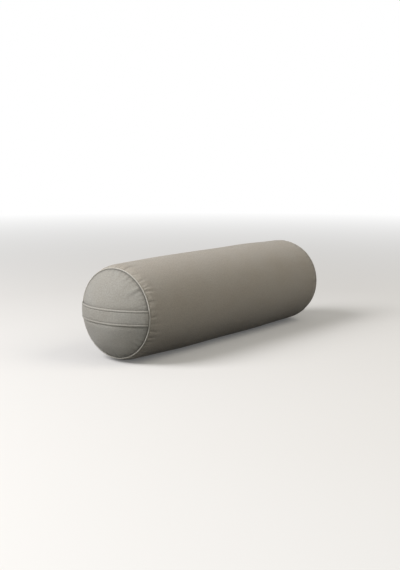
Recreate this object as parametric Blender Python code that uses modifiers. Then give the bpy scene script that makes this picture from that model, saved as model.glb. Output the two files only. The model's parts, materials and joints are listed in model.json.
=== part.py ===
"""Round yoga bolster, modelled in Blender at its real size.

Units are metres, +Z is up and +X runs along the bolster. It lies on the plane z = 0 with its
middle over the origin. The left end is at -X and the zip runs along the back, towards +Y.
A canvas cover with piped, domed ends holds a calico liner, a layer of batting and a foam core.
"""

import math

import bmesh
import bpy
from mathutils import Matrix, Vector

# Driving dimensions of the stuffed shape
SEAM_TO_SEAM = 0.700
BODY_RADIUS = 0.115
SEAM_RADIUS = 0.101
SHOULDER_LENGTH = 0.113
SHOULDER_POWER = 2.55
DOME_HEIGHT = 0.044
DOME_POWER = 2.46
DOME_FULLNESS = 0.95
REST_WIDTH = 0.052

# Cloth, cord and filling
CANVAS = 0.0012
PIPING_RADIUS = 0.0018
PIPING_CLOTH = 0.0005
SEAM_ALLOWANCE = 0.006
CALICO = 0.0006
LINER_EASE = 0.002
LINER_NECK = 0.0045
BATTING_EASE = 0.002
CORE_RADIUS = 0.080
WRAP_SETBACK = 0.010

# Handle straps
STRAP_WIDTH = 0.035
STRAP_THICKNESS = 0.0024
STRAP_CLEARANCE = 0.0006
STRAP_END_CLEARANCE = 0.0016

# Zip
TAPE_WIDTH = 0.0095
TAPE_THICKNESS = 0.0005
TAPE_END = 0.008
COIL_WIDTH = 0.0021
COIL_HEIGHT = 0.0016
STOP_LENGTH = 0.0022
SLOT_CLEARANCE = 0.0007
SLOT_END = 0.004
SLIDER_LENGTH = 0.010
WING = 0.0008
LOWER_WING = 0.0006
FLANGE = 0.0006
POST_WIDTH = 0.0005
POST_LENGTH = 0.0030
CROWN_LENGTH = 0.0064
CROWN_WIDTH = 0.0016
CROWN_OPENING = 0.0022
CROWN_BAR = 0.0008
PULL_LENGTH = 0.026
PULL_WIDTH = 0.0058
PULL_THICKNESS = 0.0010
EYE_LENGTH = 0.0042
EYE_CLEARANCE = 0.0005

# What touches keeps this gap, and points closer than the weld become one
GAP = 0.0003
WELD = 0.00001

# Faces round the bolster, and the one of them, counted up from the floor, that holds the zip
SEGMENTS = 28
ZIP_FACE = 8

# Points along each curve: a share of the shoulder's length, or a number of steps
SHOULDER_SHARES = (0.2, 0.42, 0.68, 1.0)
PANEL_STEPS = 7
LINING_STEPS = 5
PIPING_STEPS = 6
STRAP_STEPS = 18
SHARP_ANGLE = 40

HALF_FACE = math.pi / SEGMENTS
HALF_LENGTH = SEAM_TO_SEAM / 2
AXIS_HEIGHT = math.sqrt(BODY_RADIUS**2 - (REST_WIDTH / 2) ** 2)
PIPING_RING = SEAM_RADIUS + PIPING_RADIUS + GAP

# The liner starts this far under the cover's outside, which leaves room for the zip
ZIP_DEPTH = CANVAS + GAP + TAPE_THICKNESS + GAP + LOWER_WING + GAP
LINER_DEPTH = ZIP_DEPTH / math.cos(HALF_FACE)
LINER_RIM = SEAM_RADIUS - SEAM_ALLOWANCE - LINER_EASE
LINER_SEAM = HALF_LENGTH + LINER_NECK

CANVAS_GREY = (0.370, 0.345, 0.300)
STRAP_GREY = (0.385, 0.360, 0.315)
COTTON = (0.720, 0.690, 0.610)
NATURAL = (0.640, 0.580, 0.470)
FOAM = (0.780, 0.700, 0.420)
TAPE_GREY = (0.210, 0.200, 0.185)
NICKEL = (0.560, 0.550, 0.530)


def clear_scene():
    for old in list(bpy.data.objects):
        bpy.data.objects.remove(old, do_unlink=True)


def new_collection(name):
    collection = bpy.data.collections.new(name)
    bpy.context.scene.collection.children.link(collection)
    return collection


def material(name, colour, roughness, metallic=0.0):
    made = bpy.data.materials.new(name)
    made.use_nodes = True
    shader = made.node_tree.nodes["Principled BSDF"]
    shader.inputs["Base Color"].default_value = (*colour, 1.0)
    shader.inputs["Roughness"].default_value = roughness
    shader.inputs["Metallic"].default_value = metallic
    made.diffuse_color = (*colour, 1.0)
    return made


def add_object(name, mesh, colour, roughness, metallic=0.0):
    """Puts a mesh in the bolster's collection, with a material of its own."""
    made = bpy.data.objects.new(name, mesh)
    bpy.data.collections["Round yoga bolster"].objects.link(made)
    mesh.materials.append(material(name, colour, roughness, metallic))
    return made


def add_cutter(name, mesh):
    """A guide for a Boolean, which is no piece of the bolster."""
    made = bpy.data.objects.new(name, mesh)
    bpy.data.collections["Cutters"].objects.link(made)
    made.hide_render = True
    made.display_type = "WIRE"
    return made


def box_mesh(name, low, high, bevel=0.0):
    """A box between two corners, with its edges rounded where a bevel is given."""
    low, high = Vector(low), Vector(high)
    middle = Matrix.Translation((low + high) / 2)
    scale = Matrix.Diagonal((*(high - low), 1.0))
    shape = bmesh.new()
    bmesh.ops.create_cube(shape, size=1.0, matrix=middle @ scale)
    if bevel:
        bmesh.ops.bevel(shape, geom=shape.edges[:], offset=bevel, segments=1, affect="EDGES")
    mesh = bpy.data.meshes.new(name)
    shape.to_mesh(mesh)
    shape.free()
    return mesh


def boolean(target, tool, operation):
    modifier = target.modifiers.new(tool.name, "BOOLEAN")
    modifier.object = tool
    modifier.operation = operation
    modifier.solver = "EXACT"


def shade_round(mesh):
    mesh.shade_smooth()
    mesh.set_sharp_from_angle(angle=math.radians(SHARP_ANGLE))


def turned(name, section, closed, colour, roughness):
    """Turns a section of (x, radius) points about the bolster's axis, and applies the turn."""
    last = len(section) - 1
    edges = [(i, i + 1) for i in range(last)]
    if closed:
        edges.append((last, 0))
    profile = bpy.data.meshes.new(name + "_section")
    profile.from_pydata([(x, 0.0, radius) for x, radius in section], edges, [])
    made = add_object(name, profile, colour, roughness)
    made.location.z = AXIS_HEIGHT
    screw = made.modifiers.new("Turn", "SCREW")
    screw.axis = "X"
    screw.angle = math.tau
    screw.steps = SEGMENTS
    screw.render_steps = SEGMENTS
    screw.use_merge_vertices = True
    screw.merge_threshold = WELD
    graph = bpy.context.evaluated_depsgraph_get()
    mesh = bpy.data.meshes.new_from_object(made.evaluated_get(graph))
    made.modifiers.clear()
    made.data = mesh
    bpy.data.meshes.remove(profile)
    mesh.name = name
    shape = bmesh.new()
    shape.from_mesh(mesh)
    bmesh.ops.remove_doubles(shape, verts=shape.verts[:], dist=WELD)
    bmesh.ops.recalc_face_normals(shape, faces=shape.faces[:])
    shape.to_mesh(mesh)
    shape.free()
    shade_round(mesh)
    return made


def press_flat(made, round_within=0.0):
    """Presses the underside flat on the floor, each layer as far above it as its own depth."""
    for vertex in made.data.vertices:
        x, y, z = vertex.co
        radius = math.hypot(y, z)
        if radius > round_within:
            depth = max(body_outline(x) - radius, 0.0)
            vertex.co.z = max(z, depth - AXIS_HEIGHT)


def mirrored(section):
    """The same section at the other end."""
    return [(-x, radius) for x, radius in section]


def barrel(x, rim, middle):
    """Radius at x of a tube that swells from its rim to its middle over each shoulder."""
    inward = min(max(HALF_LENGTH - abs(x), 0.0), SHOULDER_LENGTH)
    left_over = (1 - inward / SHOULDER_LENGTH) ** SHOULDER_POWER
    return middle - (middle - rim) * left_over


def body_outline(x):
    return barrel(x, SEAM_RADIUS, BODY_RADIUS)


def liner_outline(x):
    return barrel(x, LINER_RIM, BODY_RADIUS - LINER_DEPTH)


def dome_rise(share):
    """How far a stuffed end has risen, from 0 at its rim, where share is 1, to 1 at its middle."""
    return (1 - share**DOME_POWER) ** DOME_FULLNESS


def dome(rim, base, top, steps):
    """Points (x, radius) of a stuffed round end, from its rim at x = base to its middle at x = top."""
    points = []
    for step in range(steps + 1):
        share = math.cos(step / steps * math.pi / 2)
        points.append((base + (top - base) * dome_rise(share), rim * share))
    points[-1] = (top, 0.0)
    return points


def stations(end):
    """Places along the tube, from one end to the other, closest where the shoulders curve most."""
    right = [HALF_LENGTH - SHOULDER_LENGTH * share for share in reversed(SHOULDER_SHARES)]
    if end > HALF_LENGTH - WRAP_SETBACK:
        right.append(HALF_LENGTH - WRAP_SETBACK)
    right.append(end)
    return [-x for x in reversed(right)] + right


# The cover's seams, from the piping's middle plane out to each side
FLANGE_HALF = PIPING_CLOTH + GAP / 2
BODY_END = HALF_LENGTH - FLANGE_HALF - GAP
PANEL_START = HALF_LENGTH + FLANGE_HALF + GAP
PANEL_BASE = PANEL_START + CANVAS
PANEL_TOP = HALF_LENGTH + DOME_HEIGHT


def make_body_panel():
    """The long canvas tube, its ends turned in at the seams and a slot for the zip along the back."""
    outside = [(x, body_outline(x)) for x in stations(BODY_END)]
    inner_end = BODY_END - CANVAS
    inside = [(x, body_outline(x) - CANVAS) for x in stations(inner_end)]
    turned_in = SEAM_RADIUS - SEAM_ALLOWANCE
    right_lip = [(BODY_END, turned_in), (inner_end, turned_in)]
    left_lip = [(-inner_end, turned_in), (-BODY_END, turned_in)]
    section = outside + right_lip + inside[::-1] + left_lip
    panel = turned("body_panel", section, True, CANVAS_GREY, 0.9)
    press_flat(panel)
    half_width = SLIDER_WIDTH / 2 + SLOT_CLEARANCE
    half_length = CHAIN_HALF + STOP_LENGTH + GAP + SLOT_END
    low = (-half_length, -half_width, LOWER_WING_TOP)
    high = (half_length, half_width, WING_TOP)
    cutter = add_cutter("zip_slot_cutter", box_mesh("zip_slot_cutter", low, high))
    cutter.parent = bpy.data.objects["zip_line"]
    boolean(panel, cutter, "DIFFERENCE")


def make_end_panel(name, side):
    """A domed canvas round, with its edge turned in at the seam."""
    outside = dome(SEAM_RADIUS, PANEL_BASE, PANEL_TOP, PANEL_STEPS)
    inside = dome(SEAM_RADIUS - CANVAS, PANEL_BASE, PANEL_TOP - CANVAS, PANEL_STEPS)
    turned_in = SEAM_RADIUS - SEAM_ALLOWANCE
    lip = [
        (PANEL_START, SEAM_RADIUS),
        (PANEL_START, turned_in),
        (PANEL_BASE, turned_in),
    ]
    section = outside[::-1] + lip + inside
    turned(name, section if side > 0 else mirrored(section), False, CANVAS_GREY, 0.9)


def arc(x, radius, size, start, end, steps):
    """Points round a circle of the given size about (x, radius); 0 degrees points along +X."""
    angles = [math.radians(start + (end - start) * step / steps) for step in range(steps + 1)]
    return [(x + size * math.cos(angle), radius + size * math.sin(angle)) for angle in angles]


def make_piping(side, cover_name, cord_name):
    """A cord round the seam in a folded strip, whose two edges run into the seam together."""
    inner = PIPING_RADIUS - PIPING_CLOTH
    open_outside = math.degrees(math.asin(FLANGE_HALF / PIPING_RADIUS))
    open_inside = math.degrees(math.asin(GAP / 2 / inner))
    centre = HALF_LENGTH
    foot = SEAM_RADIUS - SEAM_ALLOWANCE
    start, end = open_outside - 90, 270 - open_outside
    outside = arc(centre, PIPING_RING, PIPING_RADIUS, start, end, PIPING_STEPS)
    start, end = 270 - open_inside, open_inside - 90
    inside = arc(centre, PIPING_RING, inner, start, end, PIPING_STEPS)
    left_tail = [(centre - FLANGE_HALF, foot), (centre - GAP / 2, foot)]
    right_tail = [(centre + GAP / 2, foot), (centre + FLANGE_HALF, foot)]
    section = outside + left_tail + inside + right_tail
    cord = arc(centre, PIPING_RING, inner - GAP, 0, 360, PIPING_STEPS)[:-1]
    if side < 0:
        section, cord = mirrored(section), mirrored(cord)
    turned(cover_name, section, True, CANVAS_GREY, 0.85)
    turned(cord_name, cord, True, COTTON, 0.95)


def make_handle(name, side):
    """A flat strap that lies across the domed end from seam to seam."""
    reach = SEAM_RADIUS - STRAP_END_CLEARANCE
    shape = bmesh.new()
    bmesh.ops.create_grid(shape, x_segments=STRAP_STEPS, y_segments=2, size=1.0)
    for vertex in shape.verts:
        across, up, _ = vertex.co
        z = up * STRAP_WIDTH / 2
        y = across * math.sqrt(reach**2 - z**2)
        rise = dome_rise(math.hypot(y, z) / SEAM_RADIUS)
        x = PANEL_BASE + (PANEL_TOP - PANEL_BASE) * rise + STRAP_CLEARANCE
        vertex.co = (side * x, y, z)
    bmesh.ops.recalc_face_normals(shape, faces=shape.faces[:])
    middle = min(shape.faces, key=lambda face: face.calc_center_median().yz.length)
    if middle.normal.x * side < 0:
        bmesh.ops.reverse_faces(shape, faces=shape.faces[:])
    mesh = bpy.data.meshes.new(name)
    shape.to_mesh(mesh)
    shape.free()
    strap = add_object(name, mesh, STRAP_GREY, 0.85)
    strap.location.z = AXIS_HEIGHT
    solid = strap.modifiers.new("Cloth", "SOLIDIFY")
    solid.thickness = STRAP_THICKNESS
    solid.offset = 1.0
    solid.use_even_offset = True


def make_liner():
    """The calico bag inside the cover: a sleeve and two domed ends."""
    sleeve_end = LINER_SEAM - GAP / 2
    stops = stations(HALF_LENGTH)
    outside = [(x, liner_outline(x)) for x in stops]
    outside = [(-sleeve_end, LINER_RIM)] + outside + [(sleeve_end, LINER_RIM)]
    inside = [(x, radius - CALICO) for x, radius in outside]
    sleeve = turned("liner_sleeve", outside + inside[::-1], True, COTTON, 0.95)
    press_flat(sleeve)
    base = LINER_SEAM + GAP / 2
    top = PANEL_TOP - CANVAS - GAP * 2
    for name, side in (("liner_left_end", -1), ("liner_right_end", 1)):
        over = dome(LINER_RIM, base, top, LINING_STEPS)
        under = dome(LINER_RIM - CALICO, base, top - CALICO, LINING_STEPS)
        section = over[::-1] + under
        turned(name, section if side > 0 else mirrored(section), False, COTTON, 0.95)


def make_filling():
    """A foam core, the batting rolled round it, and a wad of batting in each domed end."""
    core_end = HALF_LENGTH - WRAP_SETBACK
    core = [(-core_end, 0.0), (-core_end, CORE_RADIUS), (core_end, CORE_RADIUS), (core_end, 0.0)]
    turned("foam_core", core, False, FOAM, 0.9)
    outside = [(x, liner_outline(x) - CALICO - BATTING_EASE) for x in stations(core_end)]
    bore = CORE_RADIUS + GAP
    inside = [(core_end, bore), (-core_end, bore)]
    wrap = turned("batting_wrap", outside + inside, True, NATURAL, 1.0)
    press_flat(wrap, round_within=bore + GAP)
    rim = LINER_RIM - CALICO - GAP
    top = PANEL_TOP - CANVAS - GAP * 3 - CALICO
    pad_start = core_end + GAP
    outside = dome(rim, LINER_SEAM + GAP / 2, top, LINING_STEPS)
    section = outside[::-1] + [(pad_start, rim), (pad_start, 0.0)]
    turned("right_end_pad", section, False, NATURAL, 1.0)
    turned("left_end_pad", mirrored(section), False, NATURAL, 1.0)


# The zip lies on one flat face of the cover; heights are measured out from that face
ZIP_ANGLE = math.radians(-90) + (ZIP_FACE + 0.5) * 2 * HALF_FACE
ZIP_RADIUS = BODY_RADIUS * math.cos(HALF_FACE)
CHAIN_HALF = HALF_LENGTH - SHOULDER_LENGTH
TAPE_TOP = -CANVAS - GAP
COIL_BOTTOM = TAPE_TOP + GAP
COIL_TOP = COIL_BOTTOM + COIL_HEIGHT
COIL_START = POST_WIDTH / 2 + GAP
COIL_END = COIL_START + COIL_WIDTH
SLIDER_WIDTH = 2 * (COIL_END + GAP + FLANGE)
WING_BOTTOM = COIL_TOP + GAP
WING_TOP = WING_BOTTOM + WING
LOWER_WING_TOP = TAPE_TOP - TAPE_THICKNESS - GAP
PULL_HEIGHT = WING_TOP + CROWN_OPENING / 2
SLIDER_REST = -CHAIN_HALF + SLIDER_LENGTH / 2 + GAP


def make_zip_line():
    """An empty on the cover's face, whose X runs along the zip and whose Z points outwards."""
    line = bpy.data.objects.new("zip_line", None)
    bpy.data.collections["Round yoga bolster"].objects.link(line)
    out = Vector((0.0, math.cos(ZIP_ANGLE), math.sin(ZIP_ANGLE)))
    line.location = out * ZIP_RADIUS + Vector((0.0, 0.0, AXIS_HEIGHT))
    line.rotation_euler.x = ZIP_ANGLE - math.radians(90)
    return line


def zip_box(name, low, high, colour, roughness, metallic=0.0, bevel=0.0):
    """A box piece of the zip, in the zip line's own axes."""
    made = add_object(name, box_mesh(name, low, high, bevel), colour, roughness, metallic)
    made.parent = bpy.data.objects["zip_line"]
    return made


def make_chain():
    """Two tapes with a coil on each, and the stops at the chain's ends."""
    tape_half = CHAIN_HALF + TAPE_END
    stop_start = CHAIN_HALF + GAP
    stop_end = stop_start + STOP_LENGTH
    for name, side in (("upper", -1), ("lower", 1)):
        across = sorted((side * COIL_START, side * (COIL_START + TAPE_WIDTH)))
        low = (-tape_half, across[0], TAPE_TOP - TAPE_THICKNESS)
        high = (tape_half, across[1], TAPE_TOP)
        zip_box("zip_tape_" + name, low, high, TAPE_GREY, 0.9)
        across = sorted((side * COIL_START, side * COIL_END))
        low = (-CHAIN_HALF, across[0], COIL_BOTTOM)
        high = (CHAIN_HALF, across[1], COIL_TOP)
        zip_box("zip_coil_" + name, low, high, TAPE_GREY, 0.5, bevel=COIL_HEIGHT / 5)
        low = (-stop_end, across[0], COIL_BOTTOM)
        high = (-stop_start, across[1], COIL_TOP)
        stop_name = "zip_top_stop_" + name
        zip_box(stop_name, low, high, NICKEL, 0.35, 1.0, bevel=COIL_HEIGHT / 5)
    low = (stop_start, -COIL_END, COIL_BOTTOM)
    high = (stop_end, COIL_END, COIL_TOP)
    zip_box("zip_bottom_stop", low, high, NICKEL, 0.35, 1.0, bevel=COIL_HEIGHT / 5)


def make_slider():
    """Two wings joined by a post at the nose, flanges beside the coils, and a crown for the pull."""
    half_length = SLIDER_LENGTH / 2
    half_width = SLIDER_WIDTH / 2
    slider = zip_box(
        "zip_slider",
        (-half_length, -half_width, WING_BOTTOM),
        (half_length, half_width, WING_TOP),
        NICKEL,
        0.3,
        1.0,
        bevel=WING / 3,
    )
    slider.location.x = SLIDER_REST
    sink = WING / 2
    nose = -half_length + WING / 2
    crown_top = WING_TOP + CROWN_OPENING + CROWN_BAR
    crown_half = CROWN_LENGTH / 2
    shapes = {
        "lower_wing": (
            (-half_length, -half_width, LOWER_WING_TOP - LOWER_WING),
            (half_length, half_width, LOWER_WING_TOP),
        ),
        "post": (
            (nose, -POST_WIDTH / 2, LOWER_WING_TOP - LOWER_WING / 2),
            (nose + POST_LENGTH, POST_WIDTH / 2, WING_BOTTOM + sink),
        ),
        "crown_bar": (
            (-crown_half, -CROWN_WIDTH / 2, crown_top - CROWN_BAR),
            (crown_half, CROWN_WIDTH / 2, crown_top),
        ),
    }
    for name, side in (("upper", -1), ("lower", 1)):
        across = sorted((side * half_width, side * (half_width - FLANGE)))
        shapes["flange_" + name] = (
            (-half_length + WING, across[0], TAPE_TOP + GAP),
            (half_length - WING, across[1], WING_BOTTOM + sink),
        )
    for name, side in (("front", -1), ("back", 1)):
        along = sorted((side * crown_half, side * (crown_half - CROWN_BAR)))
        shapes["crown_" + name] = (
            (along[0], -CROWN_WIDTH / 2, WING_TOP - sink),
            (along[1], CROWN_WIDTH / 2, crown_top - CROWN_BAR / 2),
        )
    for name, (low, high) in shapes.items():
        tool = add_cutter("slider_" + name, box_mesh("slider_" + name, low, high))
        tool.parent = slider
        boolean(slider, tool, "UNION")
    return slider


def make_pull(slider):
    """The tab whose end bar lies in the crown; its origin is on that bar, where it hinges."""
    bar = PULL_THICKNESS / 2
    low = (-bar, -PULL_WIDTH / 2, -bar)
    high = (PULL_LENGTH - bar, PULL_WIDTH / 2, bar)
    mesh = box_mesh("zip_pull", low, high, bevel=PULL_THICKNESS / 4)
    pull = add_object("zip_pull", mesh, NICKEL, 0.3, 1.0)
    pull.parent = slider
    pull.location.z = PULL_HEIGHT
    eye_half = CROWN_WIDTH / 2 + EYE_CLEARANCE
    eye = box_mesh("pull_eye", (bar, -eye_half, -2 * bar), (bar + EYE_LENGTH, eye_half, 2 * bar))
    cutter = add_cutter("pull_eye", eye)
    cutter.parent = pull
    boolean(pull, cutter, "DIFFERENCE")


def main():
    clear_scene()
    new_collection("Round yoga bolster")
    new_collection("Cutters")
    make_zip_line()
    make_body_panel()
    for side, end in ((-1, "left"), (1, "right")):
        make_end_panel(end + "_end_panel", side)
        make_piping(side, end + "_piping_cover", end + "_piping_cord")
        make_handle(end + "_handle", side)
    make_liner()
    make_filling()
    make_chain()
    make_pull(make_slider())


main()
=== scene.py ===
# %% [markdown]
# # Dressing a round yoga bolster
# The solids of the bolster are packed already: every piece has its real size and its real place.
# They are plain, though, with flat faces and one colour each. This lesson gives every piece the
# surface that a maker would see on the bench: woven canvas, puckered seams, stitches, a zip.
# The first cell loads the solids as a fixed frame. Nothing in this file moves them: a piece either
# gets a better material or a new mesh that stands for it in the same place.

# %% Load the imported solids
import math
import random

import bmesh
import bpy
import numpy as np
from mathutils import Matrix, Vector
from mathutils.bvhtree import BVHTree
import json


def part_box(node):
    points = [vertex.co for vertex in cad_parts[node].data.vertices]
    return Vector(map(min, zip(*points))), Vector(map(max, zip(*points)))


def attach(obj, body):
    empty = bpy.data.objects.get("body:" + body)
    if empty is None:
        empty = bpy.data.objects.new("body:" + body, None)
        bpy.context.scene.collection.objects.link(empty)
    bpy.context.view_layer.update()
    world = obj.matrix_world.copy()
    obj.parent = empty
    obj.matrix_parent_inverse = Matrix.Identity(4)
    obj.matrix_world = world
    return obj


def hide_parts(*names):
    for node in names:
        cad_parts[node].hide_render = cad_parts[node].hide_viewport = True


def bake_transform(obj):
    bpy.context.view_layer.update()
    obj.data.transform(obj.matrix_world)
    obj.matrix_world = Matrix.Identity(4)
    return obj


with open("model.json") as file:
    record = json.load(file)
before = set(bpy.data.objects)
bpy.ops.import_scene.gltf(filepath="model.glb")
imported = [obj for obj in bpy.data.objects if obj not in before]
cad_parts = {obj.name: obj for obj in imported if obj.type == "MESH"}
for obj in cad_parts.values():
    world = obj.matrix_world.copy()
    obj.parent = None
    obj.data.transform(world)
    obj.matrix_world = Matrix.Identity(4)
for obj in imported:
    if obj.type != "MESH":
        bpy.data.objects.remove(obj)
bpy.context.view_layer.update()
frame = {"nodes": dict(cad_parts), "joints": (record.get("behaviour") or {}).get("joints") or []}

# %% [markdown]
# ## Sizes
# A size that the solids already hold is read off them, so that the dressed bolster can't drift away
# from them. The tube's box gives its radius, the round end's box gives the seam and the top of the
# dome. Only the curves between those places come from formulas, each where it is first needed.

# %% Read the sizes off the solids
def half_width(node):
    """Half of a solid's width across the bolster, which is the radius of a round one."""
    low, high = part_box(node)
    return (high.y - low.y) / 2


tube_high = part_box("body_panel")[1]
dome_low, dome_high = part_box("right_end_panel")
TUBE_RADIUS = half_width("body_panel")
AXIS_HEIGHT = tube_high.z - TUBE_RADIUS
TUBE_END = tube_high.x
SEAM_RADIUS = half_width("right_end_panel")
DOME_START = dome_low.x
DOME_TOP = dome_high.x
SEAM_PLACE = (TUBE_END + DOME_START) / 2
CANVAS = 0.0012
CANVAS_TURN_IN = 0.006
LEFT, RIGHT = -1, 1
ENDS = {LEFT: "left", RIGHT: "right"}
print("tube", round(TUBE_RADIUS, 4), "seam", round(SEAM_RADIUS, 4), "axis", round(AXIS_HEIGHT, 4))

# %% [markdown]
# ## Camera
# The camera comes first, because every later choice of detail depends on what it sees. It stands
# low, in front of the near end and to its right, and looks slightly down. A portrait picture takes
# the sensor's width along its height, so the focal length in pixels is turned into millimetres with
# the picture's height.

# %% Set the camera
PICTURE_HEIGHT = 570
FOCAL_PIXELS = 941.0
SENSOR_MM = 36.0
CAMERA_PLACE = (-1.8777, -1.4327, 0.4971)
CAMERA_YAW = 0.6623
CAMERA_PITCH = 0.1524

camera_data = bpy.data.cameras.new("camera")
camera_data.sensor_width = SENSOR_MM
camera_data.lens = FOCAL_PIXELS / PICTURE_HEIGHT * SENSOR_MM
camera = bpy.data.objects.new("camera", camera_data)
camera.location = CAMERA_PLACE
camera.rotation_euler = (math.pi / 2 - CAMERA_PITCH, 0.0, CAMERA_YAW - math.pi / 2)
bpy.context.scene.collection.objects.link(camera)
bpy.context.scene.camera = camera
print("lens", round(camera_data.lens, 2), "mm")

# %% [markdown]
# ## Nodes without the clutter
# A shader is a small graph. Writing it by hand takes a line for every node and every wire, so these
# helpers add a node and wire it in one call. A number that is the same all over a surface is set on
# the shader's own socket, because exporters read it there.

# %% Helpers for shader nodes
SHEEN_ROUGHNESS = 0.4


def add_node(tree, kind, wires=None, **settings):
    """Adds a node. Settings are its own, and wires give each input a number, a colour or an output."""
    made = tree.nodes.new("ShaderNode" + kind)
    for name, value in settings.items():
        setattr(made, name, value)
    for name, value in (wires or {}).items():
        if isinstance(value, bpy.types.NodeSocket):
            tree.links.new(value, made.inputs[name])
        else:
            made.inputs[name].default_value = value
    return made


def maths(tree, operation, first, second=0.0, third=0.0):
    """What a maths node makes of up to three numbers or outputs."""
    wires = {0: first, 1: second, 2: third}
    return add_node(tree, "Math", wires, operation=operation).outputs[0]


def ramp(tree, value, low, high, to_low, to_high):
    """Stretches a value from one range to another, and holds it there."""
    wires = {"Value": value, "From Min": low, "From Max": high, "To Min": to_low, "To Max": to_high}
    return add_node(tree, "MapRange", wires).outputs["Result"]


def attribute(tree, name, output):
    """What a mesh carries at its points under this name."""
    return add_node(tree, "Attribute", attribute_name=name).outputs[output]


def start_material(name, sheen=0.0, specular=0.5, metallic=0.0):
    """A new material with one Principled shader: the material, its nodes and the shader."""
    made = bpy.data.materials.new(name)
    made.use_nodes = True
    shader = made.node_tree.nodes["Principled BSDF"]
    shader.inputs["Metallic"].default_value = metallic
    shader.inputs["Specular IOR Level"].default_value = specular
    shader.inputs["Sheen Weight"].default_value = sheen
    shader.inputs["Sheen Roughness"].default_value = SHEEN_ROUGHNESS
    return made, made.node_tree, shader


# %% [markdown]
# Nothing that is woven, cast or cut has one flat colour. Every finish below is a colour multiplied by
# a few shades that lie around 1, a roughness that varies with the same noise, and a relief that a
# bump node makes from a height. Noise seldom leaves the middle of its range, so it is stretched from
# there to the range that a shade needs.

# %% Helpers for finishes
NOISE_SPAN = (0.3, 0.7)


def noise_at(tree, place, per_metre, detail=3.0, roughness=0.55):
    """Noise with about this many grains to the metre, the same all ways or given for each axis."""
    stretch = per_metre if isinstance(per_metre, tuple) else (per_metre, per_metre, per_metre)
    scaled = add_node(tree, "VectorMath", {0: place, 1: stretch}, operation="MULTIPLY").outputs[0]
    wires = {"Vector": scaled, "Scale": 1.0, "Detail": detail, "Roughness": roughness}
    return add_node(tree, "TexNoise", wires).outputs["Fac"]


def varied(tree, noise, low, high):
    """A number that goes from low to high as the noise does."""
    return ramp(tree, noise, *NOISE_SPAN, low, high)


def paint(tree, shader, colour, *shades):
    """Gives a surface its colour, multiplied by its shades."""
    shade = shades[0]
    for other in shades[1:]:
        shade = maths(tree, "MULTIPLY", shade, other)
    scaled = add_node(tree, "VectorMath", {0: colour, "Scale": shade}, operation="SCALE")
    tree.links.new(scaled.outputs[0], shader.inputs["Base Color"])


def roughen(tree, shader, rough, height, relief):
    """Gives a surface its roughness, and a relief this many metres deep from a height."""
    tree.links.new(rough, shader.inputs["Roughness"])
    wires = {"Height": height, "Distance": relief, "Strength": 1.0}
    raised = add_node(tree, "Bump", wires)
    tree.links.new(raised.outputs["Normal"], shader.inputs["Normal"])


# %% [markdown]
# ## Woven cloth
# Canvas is a plain weave: each yarn goes over one crossing yarn and under the next. Two sine waves
# give the yarns, and the sign of one wave tells whether the other one's yarn is on top. The weave is
# drawn in metres on the flat cloth, through a place called cloth that every sewn piece carries at its
# points, so a yarn keeps its width wherever the cloth goes. Yarns also wander a little and are
# thicker in places, which is what the eye takes for cotton.

# %% Helpers for the weave
WEAVE_SPAN = (0.1, 0.9)
YARN_WANDER = 0.48
WANDERS_PER_METRE = 220.0
YARN_ROUND = 0.6
YARN_CROSSING = 0.4
SLUBS_ALONG, SLUBS_ACROSS = 45.0, 900.0


def weave(tree, place, pitch):
    """Height of a plain weave, which mostly lies in WEAVE_SPAN."""
    drift = noise_at(tree, place, WANDERS_PER_METRE, detail=2.0)
    drift = maths(tree, "MULTIPLY", maths(tree, "SUBTRACT", drift, 0.5), YARN_WANDER * pitch)
    moved = add_node(tree, "VectorMath", {0: place, 1: drift}, operation="ADD").outputs[0]
    split = add_node(tree, "SeparateXYZ", {0: moved})
    waves = []
    for axis in ("X", "Y"):
        turns = maths(tree, "MULTIPLY", split.outputs[axis], math.pi / pitch)
        waves.append(maths(tree, "SINE", turns))
    heights = []
    for own, other, side in ((waves[0], waves[1], 1.0), (waves[1], waves[0], -1.0)):
        round_yarn = maths(tree, "MULTIPLY", maths(tree, "ABSOLUTE", own), YARN_ROUND)
        over = maths(tree, "MULTIPLY", maths(tree, "SIGN", own), other)
        heights.append(maths(tree, "MULTIPLY_ADD", over, YARN_CROSSING * side, round_yarn))
    return maths(tree, "MAXIMUM", heights[0], heights[1])


def slubs(tree, place):
    """Streaks along both sets of yarns where the spinning was uneven, about 0.5 in the middle."""
    along = noise_at(tree, place, (SLUBS_ALONG, SLUBS_ACROSS, 1.0), detail=2.0)
    across = noise_at(tree, place, (SLUBS_ACROSS, SLUBS_ALONG, 1.0), detail=2.0)
    return maths(tree, "MULTIPLY", maths(tree, "ADD", along, across), 0.5)


# %% [markdown]
# ## The canvas
# The cover is a washed cotton canvas in a warm light grey. One recipe makes the four canvases of the
# bolster, because they are cut from one roll. Only the shade and the angle of the cut differ: the
# body is a little lighter and warmer than the ends, which is painted warm light, and the piping is
# paler, from wear and painted highlight, because it stands proud and is worn the most. Creases,
# seams, grooves and undersides are darker, which is painted shade. Folded edges that hands rub are
# paler from wear, and the strap's hems and the ridges of puckers are paler from wear and painted
# highlight. The darker and paler places come from numbers at the mesh's points, worked out when the
# piece is shaped.

# %% Make the canvas materials
WEAVE_PITCH = 0.0009
WEAVE_RELIEF = 0.00022
# The body's grey is lighter and warmer than the ends' grey of the same canvas: painted warm light.
BODY_GREY_LIT_WARM = (0.404, 0.370, 0.320)
END_GREY = (0.361, 0.346, 0.311)
PIPING_PALER = 1.3
WARMER, COOLER = (1.01, 1.0, 0.985), (0.99, 1.0, 1.01)
# How dark the deepest painted shade makes the canvas, and how pale the most wear and painted highlight
# make it.
DARKEST_PAINTED_SHADE, PALEST_WEAR_AND_HIGHLIGHT = 0.42, 1.22


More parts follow.
